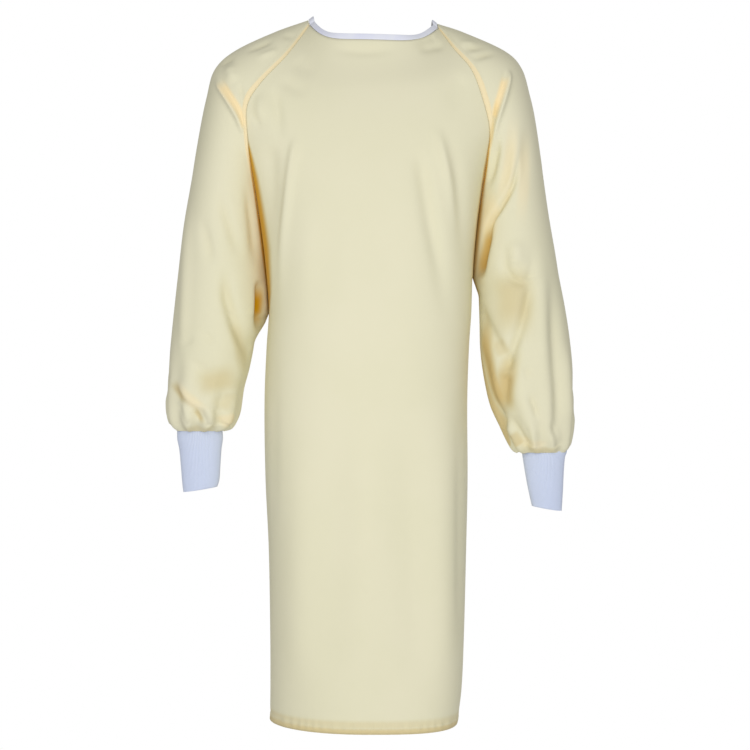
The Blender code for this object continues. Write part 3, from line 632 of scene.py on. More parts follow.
def tint(grid, normals, table):
    """A mark from 0 to 1 painted along lines on the front: each row's width is where it has faded out."""
    seen, facing = seen_from(grid, normals, "front")
    total = np.zeros(grid.shape[:2])
    for row in table:
        away, share = stroke(seen, row.places)
        amount = row.amount * np.exp(-((away / (row.wide * MM)) ** 4)) * fading(share, row)
        total = np.maximum(total, amount.reshape(total.shape) * facing)
    return total


# %% [markdown]
# ## The front panel
# The front is one width of cloth from the neck to the hem. It hangs from the chest, so its folds are long and
# nearly upright, and fade out in the smooth skirt. Short drags run from the neck toward the shoulders, where
# the sleeve seams pull. Its hem is turned up and stitched, a narrow band with slight puckers that is painted
# with a faint warm glow and with shade, and a line of painted shade lies just above it. The side seams below
# the underarms get a faint painted glow too, and the fold beside each arm painted shade.

# %% The front's folds
FRONT_FOLDS = {"front": (
    Fold(((-121, -215), (-130, -270), (-137, -328), (-145, -404), (-148, -520)), 8, 4.2, 1, 0.15, 0.5),
    Fold(((-162, -215), (-160, -300), (-163, -430)), 16, -6, 0, 0.3, 0.5),
    Fold(((-180, -138), (-176.5, -168), (-173, -200)), 11, 5.5, -0.5, 0.4, 0.5),
    Fold(((-160, -132), (-151, -160), (-146, -200), (-142, -235)), 9, -4, 0, 0.4, 0.5),
    Fold(((-199, -178), (-186, -190), (-172, -206)), 6, -3.4, 0, 0.3, 0.5),
    Fold(((82, -235), (90, -280), (100, -345), (116, -430), (132, -545)), 14, -7.5, -0.3, 0.3, 0.4),
    Fold(((106, -200), (119, -250), (132, -310), (143, -400)), 9, 5.5, 0.5, 0.3, 0.6),
    Fold(((132, -205), (145, -290), (152, -366), (158, -460)), 12, -4, 0, 0.4, 0.5),
    Fold(((-55, -600), (-62, -1150)), 35, -4.2, 0, 0.4, 0.2),
    Fold(((60, -600), (78, -1150)), 30, -5.6, 0, 0.4, 0.2),
    Fold(((-10, -560), (-4, -800), (-6, -1120)), 30, 3.6, 0, 0.5, 0.3),
    Fold(((-112, -660), (-118, -1120)), 26, 3.4, 0, 0.5, 0.2),
    Fold(((122, -600), (126, -1120)), 22, 3.6, 0, 0.5, 0.2),
    Fold(((146, -620), (146, -1080)), 9, -2.6, 0.5, 0.5, 0.3),
    Fold(((-152, -520), (-155, -900)), 10, -1.4, -0.5, 0.5, 0.4),
    Fold(((78, -74), (100, -66), (128, -58)), 8, -4, 0, 0.5, 0.2),
    Fold(((70, -64), (94, -52), (112, -44)), 6, -2.4, 0, 0.5, 0.2),
    Fold(((-70, -68), (-10, -76), (56, -70)), 8, -3, 0, 0.4, 0.4),
    Fold(((-128, -82), (-104, -104), (-80, -112)), 14, -2.6, 0, 0.3, 0.6),
    Fold(((-150, -118), (-118, -140), (-92, -146)), 11, -2.4, 0, 0.3, 0.6),
    Fold(((162, -112), (142, -150), (138, -200)), 16, -3.2, 0, 0.3, 0.6),
    Fold(((10, -300), (16, -520)), 30, -2, 0, 0.5, 0.5),
    Fold(((-62, -290), (-74, -560)), 26, -2.2, 0, 0.5, 0.5),
    Fold(((-94, -300), (-108, -540)), 18, 1.8, 0, 0.5, 0.5),
)}

# %% Cut the front
SEAM_BAND = 0.010
SEAM_RISE = 0.0004
SEAM_SOFT = 0.002
HEM_BAND = 0.010
HEM_RISE = 0.0006
HEM_EDGE = 0.0015
PUCKER = 0.0009
PUCKER_WAVES = 430
PUCKER_DRIFT = 61
PUCKER_REACH = 0.007
SHADE_REACH = 0.005
# The next three numbers paint the hem: painted shade on its band, a faint painted warm glow, and the painted
# shade line just above it.
HEM_PAINTED_SHADE = 0.42
HEM_GLOW = 0.15
HEM_SHADE = 0.7
# Where the fold beside the arm is painted with shade: the rows, and the width and amount of painted shade at
# each.
VALLEY_ROWS = (0.42, 0.60, 0.80, 0.92, 1.00, 1.10, 1.30, 1.60, 1.85)
FRONT_VALLEY_SHADE = {
    -1: (0, 0.009, 0.0125, 0.008, 0.003, 0, 0, 0, 0),
    1: (0, 0.003, 0.003, 0.003, 0.003, 0, 0, 0, 0),
}
SLEEVE_VALLEY_SHADE = {
    -1: (0, 0.006, 0.008, 0.004, 0.003, 0.002, 0, 0, 0),
    1: (0, 0.008, 0.014, 0.018, 0.018, 0.003, 0.010, 0.018, 0),
}
VALLEY_SHADE_AMOUNTS = {
    -1: (0.95, 0.95, 0.95, 0.95, 0.95, 0.60, 0.50, 0.50, 0.50),
    1: (0.95, 0.95, 0.75, 0.65, 0.65, 0.50, 0.50, 0.50, 0.50),
}
FRONT_SHAPE = (150, 220, 120)
FRONT_STRENGTH = 1.1
SKIRT_LONG = 0.7
HEM_LINES = (1.15, 1.0, 0.5)
EDGE_SOFT = 0.03
SIDE_BAND = 0.014
SIDE_SOFT = 0.004
SIDE_FROM = 1.05
SIDE_FADE = 0.1
VALLEY_SOFT = 1.5
VALLEY_FROM = 0.004


def row_places(across_seam, down_skirt):
    """The places of the rows: many along the raglan seam, then down the skirt, with close ones at the hem."""
    skirt = np.linspace(1, 2, down_skirt + 1)[1:]
    hem = 2 - HEM_BAND / SKIRT_LONG * np.array(HEM_LINES)
    return np.unique(np.concatenate((np.linspace(0, 1, across_seam + 1), skirt, hem)))


def from_edges(grid):
    """How far each point is from the grid's nearest left or right edge, measured along its row."""
    along = lengths_along(grid)
    return np.minimum(along, along[:, -1:] - along)


def hem_relief(grid, down):
    """The turned-up hem: a raised band along the lower edge with slight puckers from its stitching. Also a
    mask of the band, with a line of painted shade just above it.
    """
    from_hem, below = grid[..., 2] - HEM_HEIGHT, down[:, None] > 1
    band = ease((HEM_BAND - from_hem) / HEM_EDGE + 0.5) * below
    across = grid[..., 0]
    pucker = np.sin(across * PUCKER_WAVES + 2 * np.sin(across * PUCKER_DRIFT)) * below
    pucker *= np.exp(-(((from_hem - HEM_BAND) / PUCKER_REACH) ** 2))
    # A line of painted shade just above the hem band.
    above = np.exp(-(((from_hem - HEM_BAND - SHADE_REACH) / SHADE_REACH) ** 2)) * below
    return band * HEM_RISE + pucker * PUCKER, np.maximum(band, HEM_SHADE * above)


def valley_shade(away, down, widths, depths):
    """Painted shade in the fold beside the arm: a soft-edged strip along the seam, with a width and a depth
    of shade for each row.
    """
    wide = np.interp(down, VALLEY_ROWS, widths)[:, None]
    most = np.interp(down, VALLEY_ROWS, depths)[:, None]
    return most * ease((VALLEY_SOFT * wide - away) / np.maximum(wide, 1e-4)) * ease(wide / VALLEY_FROM)


def side_seam(grid, down):
    """The side seam's felled band below the underarm."""
    return ease((SIDE_BAND - from_edges(grid)) / SIDE_SOFT) * ease((down[:, None] - SIDE_FROM) / SIDE_FADE)


def seam_relief(grid):
    """The turned-in edge of a felled seam: a raised band along the seam."""
    return SEAM_RISE * (1 - ease((from_edges(grid) - SEAM_BAND) / SEAM_SOFT))


columns, seam_rows, skirt_rows = FRONT_SHAPE
down = row_places(seam_rows // 2, skirt_rows)
front_grid = np.array([evenly(body_line(-1, t), np.linspace(0, 1, columns + 1)) for t in down])
normals = outward(front_grid)
relief, hem_band_and_shade = hem_relief(front_grid, down)
folds = FRONT_STRENGTH * fold_heights(front_grid, normals, FRONT_FOLDS)
front_grid += normals * (folds * ease(from_edges(front_grid) / EDGE_SOFT) + relief)[..., None]
inside = (front_grid[..., 0] - front_grid[:, :1, 0], front_grid[:, -1:, 0] - front_grid[..., 0])
# Painted shade along both edges of the front, in the folds beside the arms.
left_shade, right_shade = (valley_shade(away, down, FRONT_VALLEY_SHADE[side], VALLEY_SHADE_AMOUNTS[side])
                         for away, side in zip(inside, (-1, 1)))
deep = np.where(front_grid[..., 0] < 0, left_shade, right_shade)
cloth = cloth_material("gown_cloth")
# The hem and the side seams get a faint painted warm glow; the valleys and the hem get painted shade.
marks = {"painted_glow": np.maximum(hem_band_and_shade, side_seam(front_grid, down)) * HEM_GLOW,
         "deep": np.maximum(deep, hem_band_and_shade * HEM_PAINTED_SHADE)}
front, front_flat, front_area = lay_cloth("front_cloth", front_grid, cloth, marks)
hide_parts("front")

# %% [markdown]
# ## The back panels
# The gown closes behind: the right panel laps over the left one and both hang straight from the shoulders.
# The photo doesn't show them, so their folds repeat the front's kind: long soft ones below the shoulder
# blades. The free edges are hemmed like the bottom.

# %% Cut the back
BACK_FOLDS = {"back": (
    Fold(((-155, -240), (-158, -600)), 16, -6, 0, 0.3, 0.3),
    Fold(((120, -220), (108, -560)), 22, -7, 0, 0.3, 0.3),
    Fold(((-120, -640), (-128, -1140)), 30, -6, 0, 0.3, 0.3),
    Fold(((128, -640), (132, -1150)), 22, -6, 0, 0.3, 0.3),
    Fold(((82, -230), (74, -440), (80, -640)), 14, 2.8, 0.8, 0.4, 0.5),
    Fold(((158, -300), (150, -520)), 12, 2.6, -0.8, 0.4, 0.5),
    Fold(((-134, -200), (-128, -330)), 10, 2.2, 0.8, 0.4, 0.5),
    Fold(((40, -560), (30, -860), (36, -1120)), 26, -2.6, 0, 0.4, 0.4),
    Fold(((88, -720), (94, -1140)), 18, 2.6, 0.6, 0.4, 0.3),
    Fold(((120, -110), (90, -140)), 8, -1.8, 0, 0.3, 0.6),
    Fold(((102, -70), (72, -86)), 6, -1.6, 0, 0.3, 0.6),
)}
BACK_SHAPE = (90, 120, 110)
BACK_STRENGTH = 1.7
FREE_HEM = 0.012
BACK_GLOW = 0.35


def back_line(side, t):
    """A row of one back panel, from right to left, which reaches past the centre; the left one dips under."""
    line = body_line(1, t)[::-1]
    lap = read(BODY, "lap", line[DENSE // 2, 2])
    past = line[:, 0] * side > -lap
    kept = line[past]
    first, last = np.flatnonzero(past)[[0, -1]]
    outside, inside = (last + 1, last) if side > 0 else (first - 1, first)
    share = (-side * lap - line[inside, 0]) / (line[outside, 0] - line[inside, 0])
    edge_point = line[inside] + (line[outside] - line[inside]) * share
    kept = np.vstack((kept, edge_point)) if side > 0 else np.vstack((edge_point, kept))
    if side < 0:
        kept[:, 1] -= LAP_DROP * ease((kept[:, 0] + lap + LAP_RAMP) / (LAP_RAMP - LAP_LEVEL))
    return kept


backs, back_grids = {}, {}
for side, name in ((-1, "left"), (1, "right")):
    columns, seam_rows, skirt_rows = BACK_SHAPE
    down = row_places(seam_rows // 2, skirt_rows)
    grid = np.array([evenly(back_line(side, t), np.linspace(0, 1, columns + 1)) for t in down])
    normals = outward(grid)
    relief, hem_band_and_shade = hem_relief(grid, down)
    along = lengths_along(grid)
    from_seam, from_free = (along, along[:, -1:] - along) if side > 0 else (along[:, -1:] - along, along)
    free_hem = ease((FREE_HEM - from_free) / HEM_EDGE)
    folds = BACK_STRENGTH * fold_heights(grid, normals, BACK_FOLDS)
    folds *= ease(from_seam / EDGE_SOFT) * ease(from_free / EDGE_SOFT)
    grid += normals * (folds + relief + HEM_RISE * free_hem)[..., None]
    # Painted shade in the fold beside the arm, along the seam; a painted warm glow on the hems.
    deep = valley_shade(from_seam, down, FRONT_VALLEY_SHADE[side], VALLEY_SHADE_AMOUNTS[side])
    painted_glow = np.maximum(hem_band_and_shade, free_hem) * BACK_GLOW
    back, flat, area = lay_cloth(f"back_{name}_cloth", grid, cloth, {"painted_glow": painted_glow, "deep": deep})
    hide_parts(f"back_{name}")
    backs[side] = (back, flat, area)
    back_grids[side] = grid

# %% [markdown]
# ## The sleeves
# Each sleeve is one piece from the neck to the wrist. Over the shoulder it lies smooth but for short drags
# along the seam. In front of the arm a sharp fold runs from the shoulder point to the seam's knee, and below
# it the cloth falls in long leaning folds to the wrist, where a wide end is gathered into a narrow cuff.

# %% The sleeves' folds
LEFT_SLEEVE_FOLDS = {
    "front": (
        Fold(((-254, -114), (-231, -152), (-214, -183), (-201, -212)), 5.2, 4.6, -1.6, 0.2, 0.1),
        Fold(((-211, -128), (-206, -155), (-202, -192)), 4.5, -4.2, 0, 0.4, 0.2),
        Fold(((-232, -94), (-226, -112), (-220, -132)), 10, 5, 0, 0.4, 0.4),
        Fold(((-246, -98), (-236, -88), (-218, -86)), 6, -3.4, 0, 0.4, 0.4),
        Fold(((-208, -76), (-178, -62), (-155, -52)), 6, -3.4, 0, 0.4, 0.4),
        Fold(((-190, -86), (-168, -80), (-148, -72)), 6, 2.6, 0, 0.5, 0.2),
        Fold(((-150, -42), (-130, -46), (-114, -50)), 6, -2.6, 0, 0.5, 0.2),
        Fold(((-299, -300), (-301, -400), (-304, -500), (-307, -592)), 10, 4, -0.5, 0.4, 0.3),
        Fold(((-276, -340), (-262, -390), (-254, -434)), 10, -3.4, -0.5, 0.4, 0.4),
        Fold(((-253, -300), (-232, -360), (-213, -424)), 10, -3.6, 0.5, 0.4, 0.4),
        Fold(((-204, -280), (-193, -360), (-190, -430)), 8, -4.4, 0, 0.4, 0.4),
        Fold(((-238, -420), (-236, -475), (-224, -516), (-206, -565), (-207, -610)),
             11, -8.5, 0.5, 0.3, 0.4),
        Fold(((-172, -450), (-171, -505)), 4.5, 5, 0, 0.3, 0.3),
        Fold(((-183.5, -446), (-184, -490), (-187.5, -540)), 6, -8, 0.5, 0.2, 0.3),
        Fold(((-283, -532), (-262, -548), (-240, -556)), 9, -2.2, 0.5, 0.5, 0.5),
        Fold(((-314, -560), (-300, -551), (-284, -548)), 7, -1.8, 0, 0.5, 0.5),
        Fold(((-304, -573), (-282, -596), (-250, -624)), 10, -2.4, 0.5, 0.5, 0.5),
        Fold(((-280, -636), (-250, -650), (-222, -655)), 15, -6, 0, 0.5, 0.4),
        Fold(((-262, -570), (-246, -640)), 24, -5, 0, 0.5, 0.4),
        Fold(((-322, -610), (-306, -632), (-284, -652), (-262, -668), (-246, -680)),
             8.5, 3.4, -0.5, 0.3, 0.4),
        Fold(((-326, -622), (-312, -642), (-298, -658), (-284, -672), (-274, -690)),
             7.5, -3.4, 0, 0.3, 0.2),
        Fold(((-318, -652), (-308, -670), (-300, -690)), 6, -2.4, 0, 0.3, 0.1),
        Fold(((-279, -658), (-272, -674), (-266, -692)), 5, -2.6, 0.5, 0.3, 0.1),
        Fold(((-254, -660), (-250, -676), (-245, -692)), 6, -2.6, 0, 0.3, 0.1),
        Fold(((-236, -650), (-232, -676), (-234, -690)), 8, 2.6, 0, 0.4, 0.2),
    ),
    "back": (
        Fold(((-235, -300), (-242, -450), (-250, -600)), 18, -8, 0.3, 0.3, 0.3),
        Fold(((-300, -420), (-262, -540)), 14, -7, 0, 0.3, 0.3),
        Fold(((-250, -120), (-226, -165), (-204, -214)), 7, 4, -1.2, 0.3, 0.2),
        Fold(((-286, -280), (-276, -390)), 10, -3.6, 0.6, 0.4, 0.4),
        Fold(((-212, -290), (-200, -400)), 9, -4.4, 0.3, 0.4, 0.4),
        Fold(((-300, -580), (-268, -612), (-246, -640)), 8, -4.6, 0.5, 0.4, 0.4),
        Fold(((-312, -610), (-292, -650), (-282, -686)), 6, 5, -0.8, 0.3, 0.1),
        Fold(((-266, -640), (-260, -690)), 6, -5, 0, 0.3, 0.1),
        Fold(((-244, -636), (-250, -688)), 6, -4.4, 0, 0.3, 0.1),
    ),
    "left": (
        Fold(((-30, -240), (4, -380), (-6, -480)), 14, -3, 0.6, 0.4, 0.4),
        Fold(((34, -480), (-6, -560), (-34, -610)), 10, -3.6, 0.5, 0.4, 0.4),
        Fold(((-56, -590), (-36, -650), (-30, -690)), 7, -4.6, 0, 0.4, 0.1),
        Fold(((22, -600), (4, -690)), 8, -4.6, 0, 0.4, 0.1),
        Fold(((-16, -630), (-14, -692)), 7, 3.6, 0, 0.4, 0.1),
    ),
}
RIGHT_SLEEVE_FOLDS = {
    "front": (
        Fold(((229, -102), (225, -130), (216.5, -164), (206, -198), (199, -232)), 5.2, 4.6, 1.6, 0.2, 0.2),
        Fold(((212, -150), (208, -176), (203, -200)), 4.5, -3, 0, 0.4, 0.3),
        Fold(((150, -78), (170, -69), (204, -64)), 6, -3.4, 0, 0.2, 0.5),
        Fold(((148, -60), (182, -58)), 6, 2.2, 0, 0.2, 0.5),
        Fold(((168, -92), (190, -81), (214, -74)), 6, -3.8, 0, 0.2, 0.5),
        Fold(((213, -214), (203, -262), (193, -300)), 7, -5, 0.5, 0.3, 0.4),
        Fold(((232, -190), (226, -260), (213, -320)), 9, -4, 0.6, 0.4, 0.4),
        Fold(((258, -180), (254, -250), (246, -310)), 12, -3.6, 0.6, 0.5, 0.5),
        Fold(((250, -236), (240, -292), (219, -330), (203, -353), (194, -378)), 5.5, -6.2, -0.9, 0.3, 0.3),
        Fold(((203, -340), (193, -390), (187, -420), (184, -452)), 7, -9, 0, 0.3, 0.3),
        Fold(((224, -380), (224, -420), (229, -440), (243, -453.5), (260, -452), (268, -428), (272, -380)),
             8, -5.5, 0, 0.3, 0.4),
        Fold(((240, -380), (245, -432)), 12, 4.8, 0, 0.4, 0.3),
        Fold(((272, -440), (264, -482), (252, -526), (237, -567), (225, -610)), 10, -8.5, -0.4, 0.3, 0.15),
        Fold(((184, -480), (190, -510), (205, -541), (222, -577), (226.5, -606)), 9, -6, 0, 0.3, 0.15),
        Fold(((226.5, -596), (219.5, -643), (222, -679), (232, -700)), 10, -8.5, 0, 0.15, 0.3),
        Fold(((187, -549), (197, -602), (206, -650), (219, -694)), 6, -3.6, 0, 0.3, 0.3),
        Fold(((252, -587), (264, -620)), 6, -2.8, 0.4, 0.5, 0.5),
        Fold(((258, -634), (269.5, -658), (279, -686)), 5, -3.6, 0.6, 0.4, 0.4),
        Fold(((304, -420), (308, -526), (311, -590), (314, -650), (311, -716)), 11, -7.5, -0.3, 0.3, 0.1),
        Fold(((284, -380), (286, -520), (288, -640)), 12, 3, 0, 0.4, 0.4),
        Fold(((328, -540), (331, -690)), 7, 3, 0, 0.4, 0.2),
        Fold(((222, -664), (238, -690), (252, -712), (262, -728)), 6, -3, 0.5, 0.4, 0.1),
        Fold(((254, -680), (262, -704), (268, -728)), 6, -2.2, 0, 0.4, 0.1),
        Fold(((300, -680), (310, -708), (314, -728)), 6, -3, 0, 0.4, 0.1),
        Fold(((280, -672), (284, -728)), 8, -1.8, 0, 0.4, 0.1),
        Fold(((272, -690), (275, -729)), 6, 1.6, 0, 0.4, 0.1),
    ),
    "back": (
        Fold(((232, -290), (240, -450), (252, -610)), 18, -8, -0.3, 0.3, 0.3),
        Fold(((300, -400), (262, -520)), 14, -7, 0, 0.3, 0.3),
        Fold(((246, -110), (224, -155), (202, -206)), 7, 4, 1.2, 0.3, 0.2),
        Fold(((284, -250), (270, -360)), 10, -3.6, -0.6, 0.4, 0.4),
        Fold(((212, -270), (198, -380)), 9, -4.4, -0.3, 0.4, 0.4),
        Fold(((304, -560), (276, -630), (262, -690)), 9, -5, 0, 0.4, 0.3),
        Fold(((318, -630), (302, -680), (296, -722)), 6, 4.6, 0.8, 0.3, 0.1),
        Fold(((278, -670), (272, -724)), 6, -5, 0, 0.3, 0.1),
        Fold(((250, -664), (258, -720)), 6, -4.4, 0, 0.3, 0.1),
    ),
    "right": (
        Fold(((-30, -240), (8, -380), (-6, -500)), 14, -3, 0.6, 0.4, 0.4),
        Fold(((34, -500), (-4, -590), (-30, -650)), 10, -3.6, 0.5, 0.4, 0.4),
        Fold(((-52, -620), (-36, -680), (-30, -726)), 7, -4.6, 0, 0.4, 0.1),
        Fold(((20, -630), (4, -726)), 8, -4.6, 0, 0.4, 0.1),
        Fold(((-16, -660), (-14, -728)), 7, 3.6, 0, 0.4, 0.1),
    ),
}
SLEEVE_FOLDS = {-1: LEFT_SLEEVE_FOLDS, 1: RIGHT_SLEEVE_FOLDS}

# %% Where the sleeves get a painted warm glow and painted ochre shade
GLOW_STROKES = {
    -1: (
        Tint(((-247, -120), (-228, -150), (-210, -178), (-201, -205)), 6.2, 1, 0.25, 0.1),
        Tint(((-322, -612), (-306, -636), (-284, -656), (-262, -670)), 9, 0.45, 0.4, 0.4),
        Tint(((-250, -690), (-222, -676)), 10, 0.5, 0.4, 0.2),
    ),
    1: (
        Tint(((223.5, -116), (218, -138), (210, -164), (203, -188)), 5.5, 1, 0.25, 0.1),
        Tint(((206, -290), (194, -400)), 12, 0.5, 0.4, 0.4),
        Tint(((240, -715), (300, -728)), 8, 0.3, 0.3, 0.3),
        Tint(((239, -170), (233, -240), (223, -300), (214, -350)), 11, 0.4, 0.4, 0.4),
        Tint(((258, -190), (256, -280), (248, -370)), 10, 0.35, 0.4, 0.4),
    ),
}
SHADE_STROKES = {
    -1: (
        Tint(((-181.5, -440), (-182, -490), (-186, -545)), 5.5, 1, 0.45, 0.45),
        Tint(((-256, -585), (-244, -645)), 30, 0.32, 0.5, 0.4),
        Tint(((-232, -500), (-212, -556), (-207, -620)), 12, 0.24, 0.4, 0.4),
        Tint(((-246, -646), (-222, -655)), 16, 0.2, 0.5, 0.4),
        Tint(((-326, -614), (-314, -636), (-300, -658)), 7, 0.42, 0.4, 0.4),
        Tint(((-290, -660), (-281, -674), (-273, -690)), 5, 0.42, 0.4, 0.3),
        Tint(((-316, -694), (-282, -699), (-248, -693)), 6, 0.25, 0.3, 0.3),
    ),
    1: (
        Tint(((203, -345), (193, -390), (187, -420), (184, -455)), 7, 0.8, 0.3, 0.3),
        Tint(((211, -152), (204, -200), (198, -240)), 3.5, 0.3, 0.3, 0.3),
        Tint(((240, -292), (219, -330), (203, -353)), 3.5, 0.25, 0.3, 0.3),
        Tint(((184, -480), (190, -549), (200, -602), (213, -650), (226, -690)), 12, 0.62, 0.3, 0.3),
        Tint(((240, -550), (227, -608), (222.5, -643), (226, -679)), 17, 0.56, 0.4, 0.3),
        Tint(((228, -420), (240, -480), (236, -560)), 30, 0.34, 0.4, 0.4),
        Tint(((206, -541), (224, -580)), 12, 0.25, 0.4, 0.3),
        Tint(((237, -700), (252, -726)), 6, 0.35, 0.3, 0.2),
        Tint(((244, -726), (285, -734), (326, -730)), 6, 0.25, 0.3, 0.3),
    ),
}

# %% How troughs and folds show: the troughs also get painted shade
TROUGH_SHADE = 0.10
TROUGH_DEEP = 0.008
TINT_TO = 0.30
TINT_SOFT = 0.06
FOLD_STRENGTH = 1.1

# %% Keep the sleeves clear of the body
CLEARANCE = 0.005
CLEAR_WITHIN = 0.03
CLEAR_FROM = 0.55
ON_SEAM = 0.0005
EDGE_DEPTHS = np.linspace(0, 0.13, 40)


def side_edges(facing, side):
    """How far out the body's side stands at each of EDGE_DEPTHS, and the heights that they are read at."""
    found, heights = [], []
    for t in np.linspace(0.5, 2, 90):
        line = body_line(facing, t)
        half = line[DENSE // 2 :] if side > 0 else line[DENSE // 2 :: -1]
        found.append(np.interp(EDGE_DEPTHS, np.abs(half[::-1, 1]), np.abs(half[::-1, 0])))
        heights.append(half[-1, 2])
    return np.array(found), np.array(heights)


def keep_clear(grid, side, down):
    """Push a sleeve's points away from the body's side, more and more as they leave the seam."""
    away = from_edges(grid)
    clearance = np.where(down[:, None] > 1, 1, np.minimum(away / CLEAR_WITHIN, 1)) * CLEARANCE
    for facing in (-1, 1):
        found, heights = side_edges(facing, side)
        last = len(EDGE_DEPTHS) - 1
        depth = np.clip(np.abs(grid[..., 1]) / EDGE_DEPTHS[-1] * last, 0, last - 0.001)
        by_depth = np.stack([np.interp(-grid[..., 2], -heights, column) for column in found.T])
        low = depth.astype(int)
        rows, columns = np.indices(low.shape)
        near = by_depth[low, rows, columns] * (low + 1 - depth)
        far = by_depth[low + 1, rows, columns] * (depth - low)
        least = near + far + clearance
        close = (np.sign(grid[..., 1]) == facing) & (np.abs(grid[..., 0]) < least)
        close &= (down[:, None] > CLEAR_FROM) & ((away > ON_SEAM) | (down[:, None] > 1))
        grid[..., 0] = np.where(close, side * least, grid[..., 0])


# %% Cut the sleeves
SLEEVE_SHAPE = (170, 150, 130)
FRONT_DENSER = 1.25
GATHERS = 9
GATHER_UNEVEN = 0.3
# The raglan seam's strip with a painted warm glow: its widths down the rows, its amount and where it fades
# out.
STRIP_ROWS = (0, 0.2, 0.3, 0.5)
STRIP_WIDTHS = (0.004, 0.006, 0.0095, 0.011)
STRIP_GLOW = 0.75
STRIP_ENDS = (0.52, 0.62)
RELIEF_ENDS = (0.55, 0.75)
sleeves = {}
for side, name in ((-1, "left"), (1, "right")):
    columns, seam_rows, arm_rows = SLEEVE_SHAPE
    down = np.concatenate((np.linspace(0, 1, seam_rows + 1), np.linspace(1, 2, arm_rows + 1)[1:]))
    lines, rings = zip(*(sleeve_line(side, t) for t in down))
    shares = np.linspace(0, 1, columns + 1) ** FRONT_DENSER
    shares = shares if side > 0 else 1 - shares[::-1]
    grid = np.array([evenly(line if side > 0 else line[::-1], shares) for line in lines])
    normals = outward(grid, seam_rows)
    open_part = np.where(down[:, None] > 1, 1, ease(from_edges(grid) / EDGE_SOFT))
    around = 2 * math.pi * shares[None, :]
    gathers = np.array([ring.gather for ring in rings])[:, None]
    gathers = gathers * (1 + GATHER_UNEVEN * np.sin(2 * around + side)) * np.cos(GATHERS * around + side)
    heights = FOLD_STRENGTH * fold_heights(grid, normals, SLEEVE_FOLDS[side]) * open_part + gathers
    heights += seam_relief(grid) * (1 - ease((down[:, None] - RELIEF_ENDS[0]) / np.ptp(RELIEF_ENDS)))
    away = from_edges(grid)
    # A painted warm glow along the raglan seam and along the glow strokes.
    strip = ease((np.interp(down, STRIP_ROWS, STRIP_WIDTHS)[:, None] - away) / SEAM_SOFT + 0.5)
    painted_glow = strip * STRIP_GLOW * (1 - ease((down[:, None] - STRIP_ENDS[0]) / np.ptp(STRIP_ENDS)))
    painted_glow = np.maximum(painted_glow, tint(grid, normals, GLOW_STROKES[side]))
    # Painted shade in the fold beside the arm, along the shade strokes and in the troughs on the inner side.
    deep = valley_shade(away, down, SLEEVE_VALLEY_SHADE[side], VALLEY_SHADE_AMOUNTS[side])
    deep = np.maximum(deep, tint(grid, normals, SHADE_STROKES[side]))
    inner_side = ease((TINT_TO - np.abs(grid[..., 0])) / TINT_SOFT)
    deep = np.maximum(deep, TROUGH_SHADE * ease(-heights / TROUGH_DEEP) * inner_side)
    grid += normals * heights[..., None]
    keep_clear(grid, side, down)
    grid[-1, :, 2] = grid[-1, :, 2].mean()
    grid[seam_rows:, -1] = grid[seam_rows:, 0]
    marks = {"painted_glow": painted_glow, "deep": deep}
    sleeve, flat, area = lay_cloth(f"sleeve_{name}_cloth", grid, cloth, marks, seam_rows)
    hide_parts(f"sleeve_{name}")
    sleeves[side] = (sleeve, flat, area, grid)

# %% [markdown]
# ## The cuffs
# Knitted cuffs are ribbed so that they stretch round a wrist: columns of stitches stand up in pairs with a
# groove between. The ribs are real here, a small wave round each ring of the tube, and the stitches in them
# are bump. Each cuff tapers from the sleeve's edge to the wrist, with its mouth a little aslant.

# %% Knit the cuffs
Knit = namedtuple("Knit", "down half_wide half_deep out")
CUFFS = {
    -1: (
        Knit(-0.005, 0.0372, 0.0265, 0.2845),
        Knit(0.000, 0.0376, 0.0265, 0.2845),
        Knit(0.014, 0.0378, 0.0268, 0.2838),
        Knit(0.030, 0.0350, 0.0258, 0.2832),
        Knit(0.060, 0.0325, 0.0250, 0.2826),
        Knit(0.086, 0.0305, 0.0240, 0.2822),
        Knit(0.098, 0.0280, 0.0232, 0.2830),
    ),
    1: (
        Knit(-0.005, 0.0372, 0.0265, 0.2950),
        Knit(0.000, 0.0372, 0.0265, 0.2950),
        Knit(0.008, 0.0352, 0.0262, 0.2940),
        Knit(0.030, 0.0325, 0.0252, 0.2945),
        Knit(0.060, 0.0292, 0.0242, 0.2962),
        Knit(0.094, 0.0245, 0.0228, 0.2985),
    ),
}
CUFF_SLANT = {-1: -0.0045, 1: 0.0040}
CUFF_SWING = 0.0045
RIBS = 84
RIB_RISE = 0.0005
RIB_STEPS = 4
CUFF_ROWS = 48
CUFF_THICK = 0.0018
KNIT_PALE = (0.740, 0.810, 0.985, 1)
KNIT_SHADE = (0.610, 0.680, 0.870, 1)
STITCH_HIGH = 0.0012
FUZZ = 260


def knit_material(name):
    material, shader, start = new_material(name, roughness=0.9, sheen=0.3)
    across, along = cut_place(start)
    lean = across.wave(2 * STITCH_HIGH)
    stitches = (along + lean * (STITCH_HIGH / 3)).wave(STITCH_HIGH)
    fuzz = on_object(start).noise(FUZZ, 3)
    # Painted shade: the grooves between the ribs are coloured darker, and the stitches' wave adds a little
    # painted light and shade; the fuzz is random tone.
    colour = (mark(start, "groove") * 0.6 + stitches * 0.08 + fuzz * 0.2).blend(KNIT_PALE, KNIT_SHADE)
    colour.into(shader.inputs["Base Color"])
    (stitches * 0.4 + fuzz * 0.6).bump(0.4, 0.0003, shader)
    return material


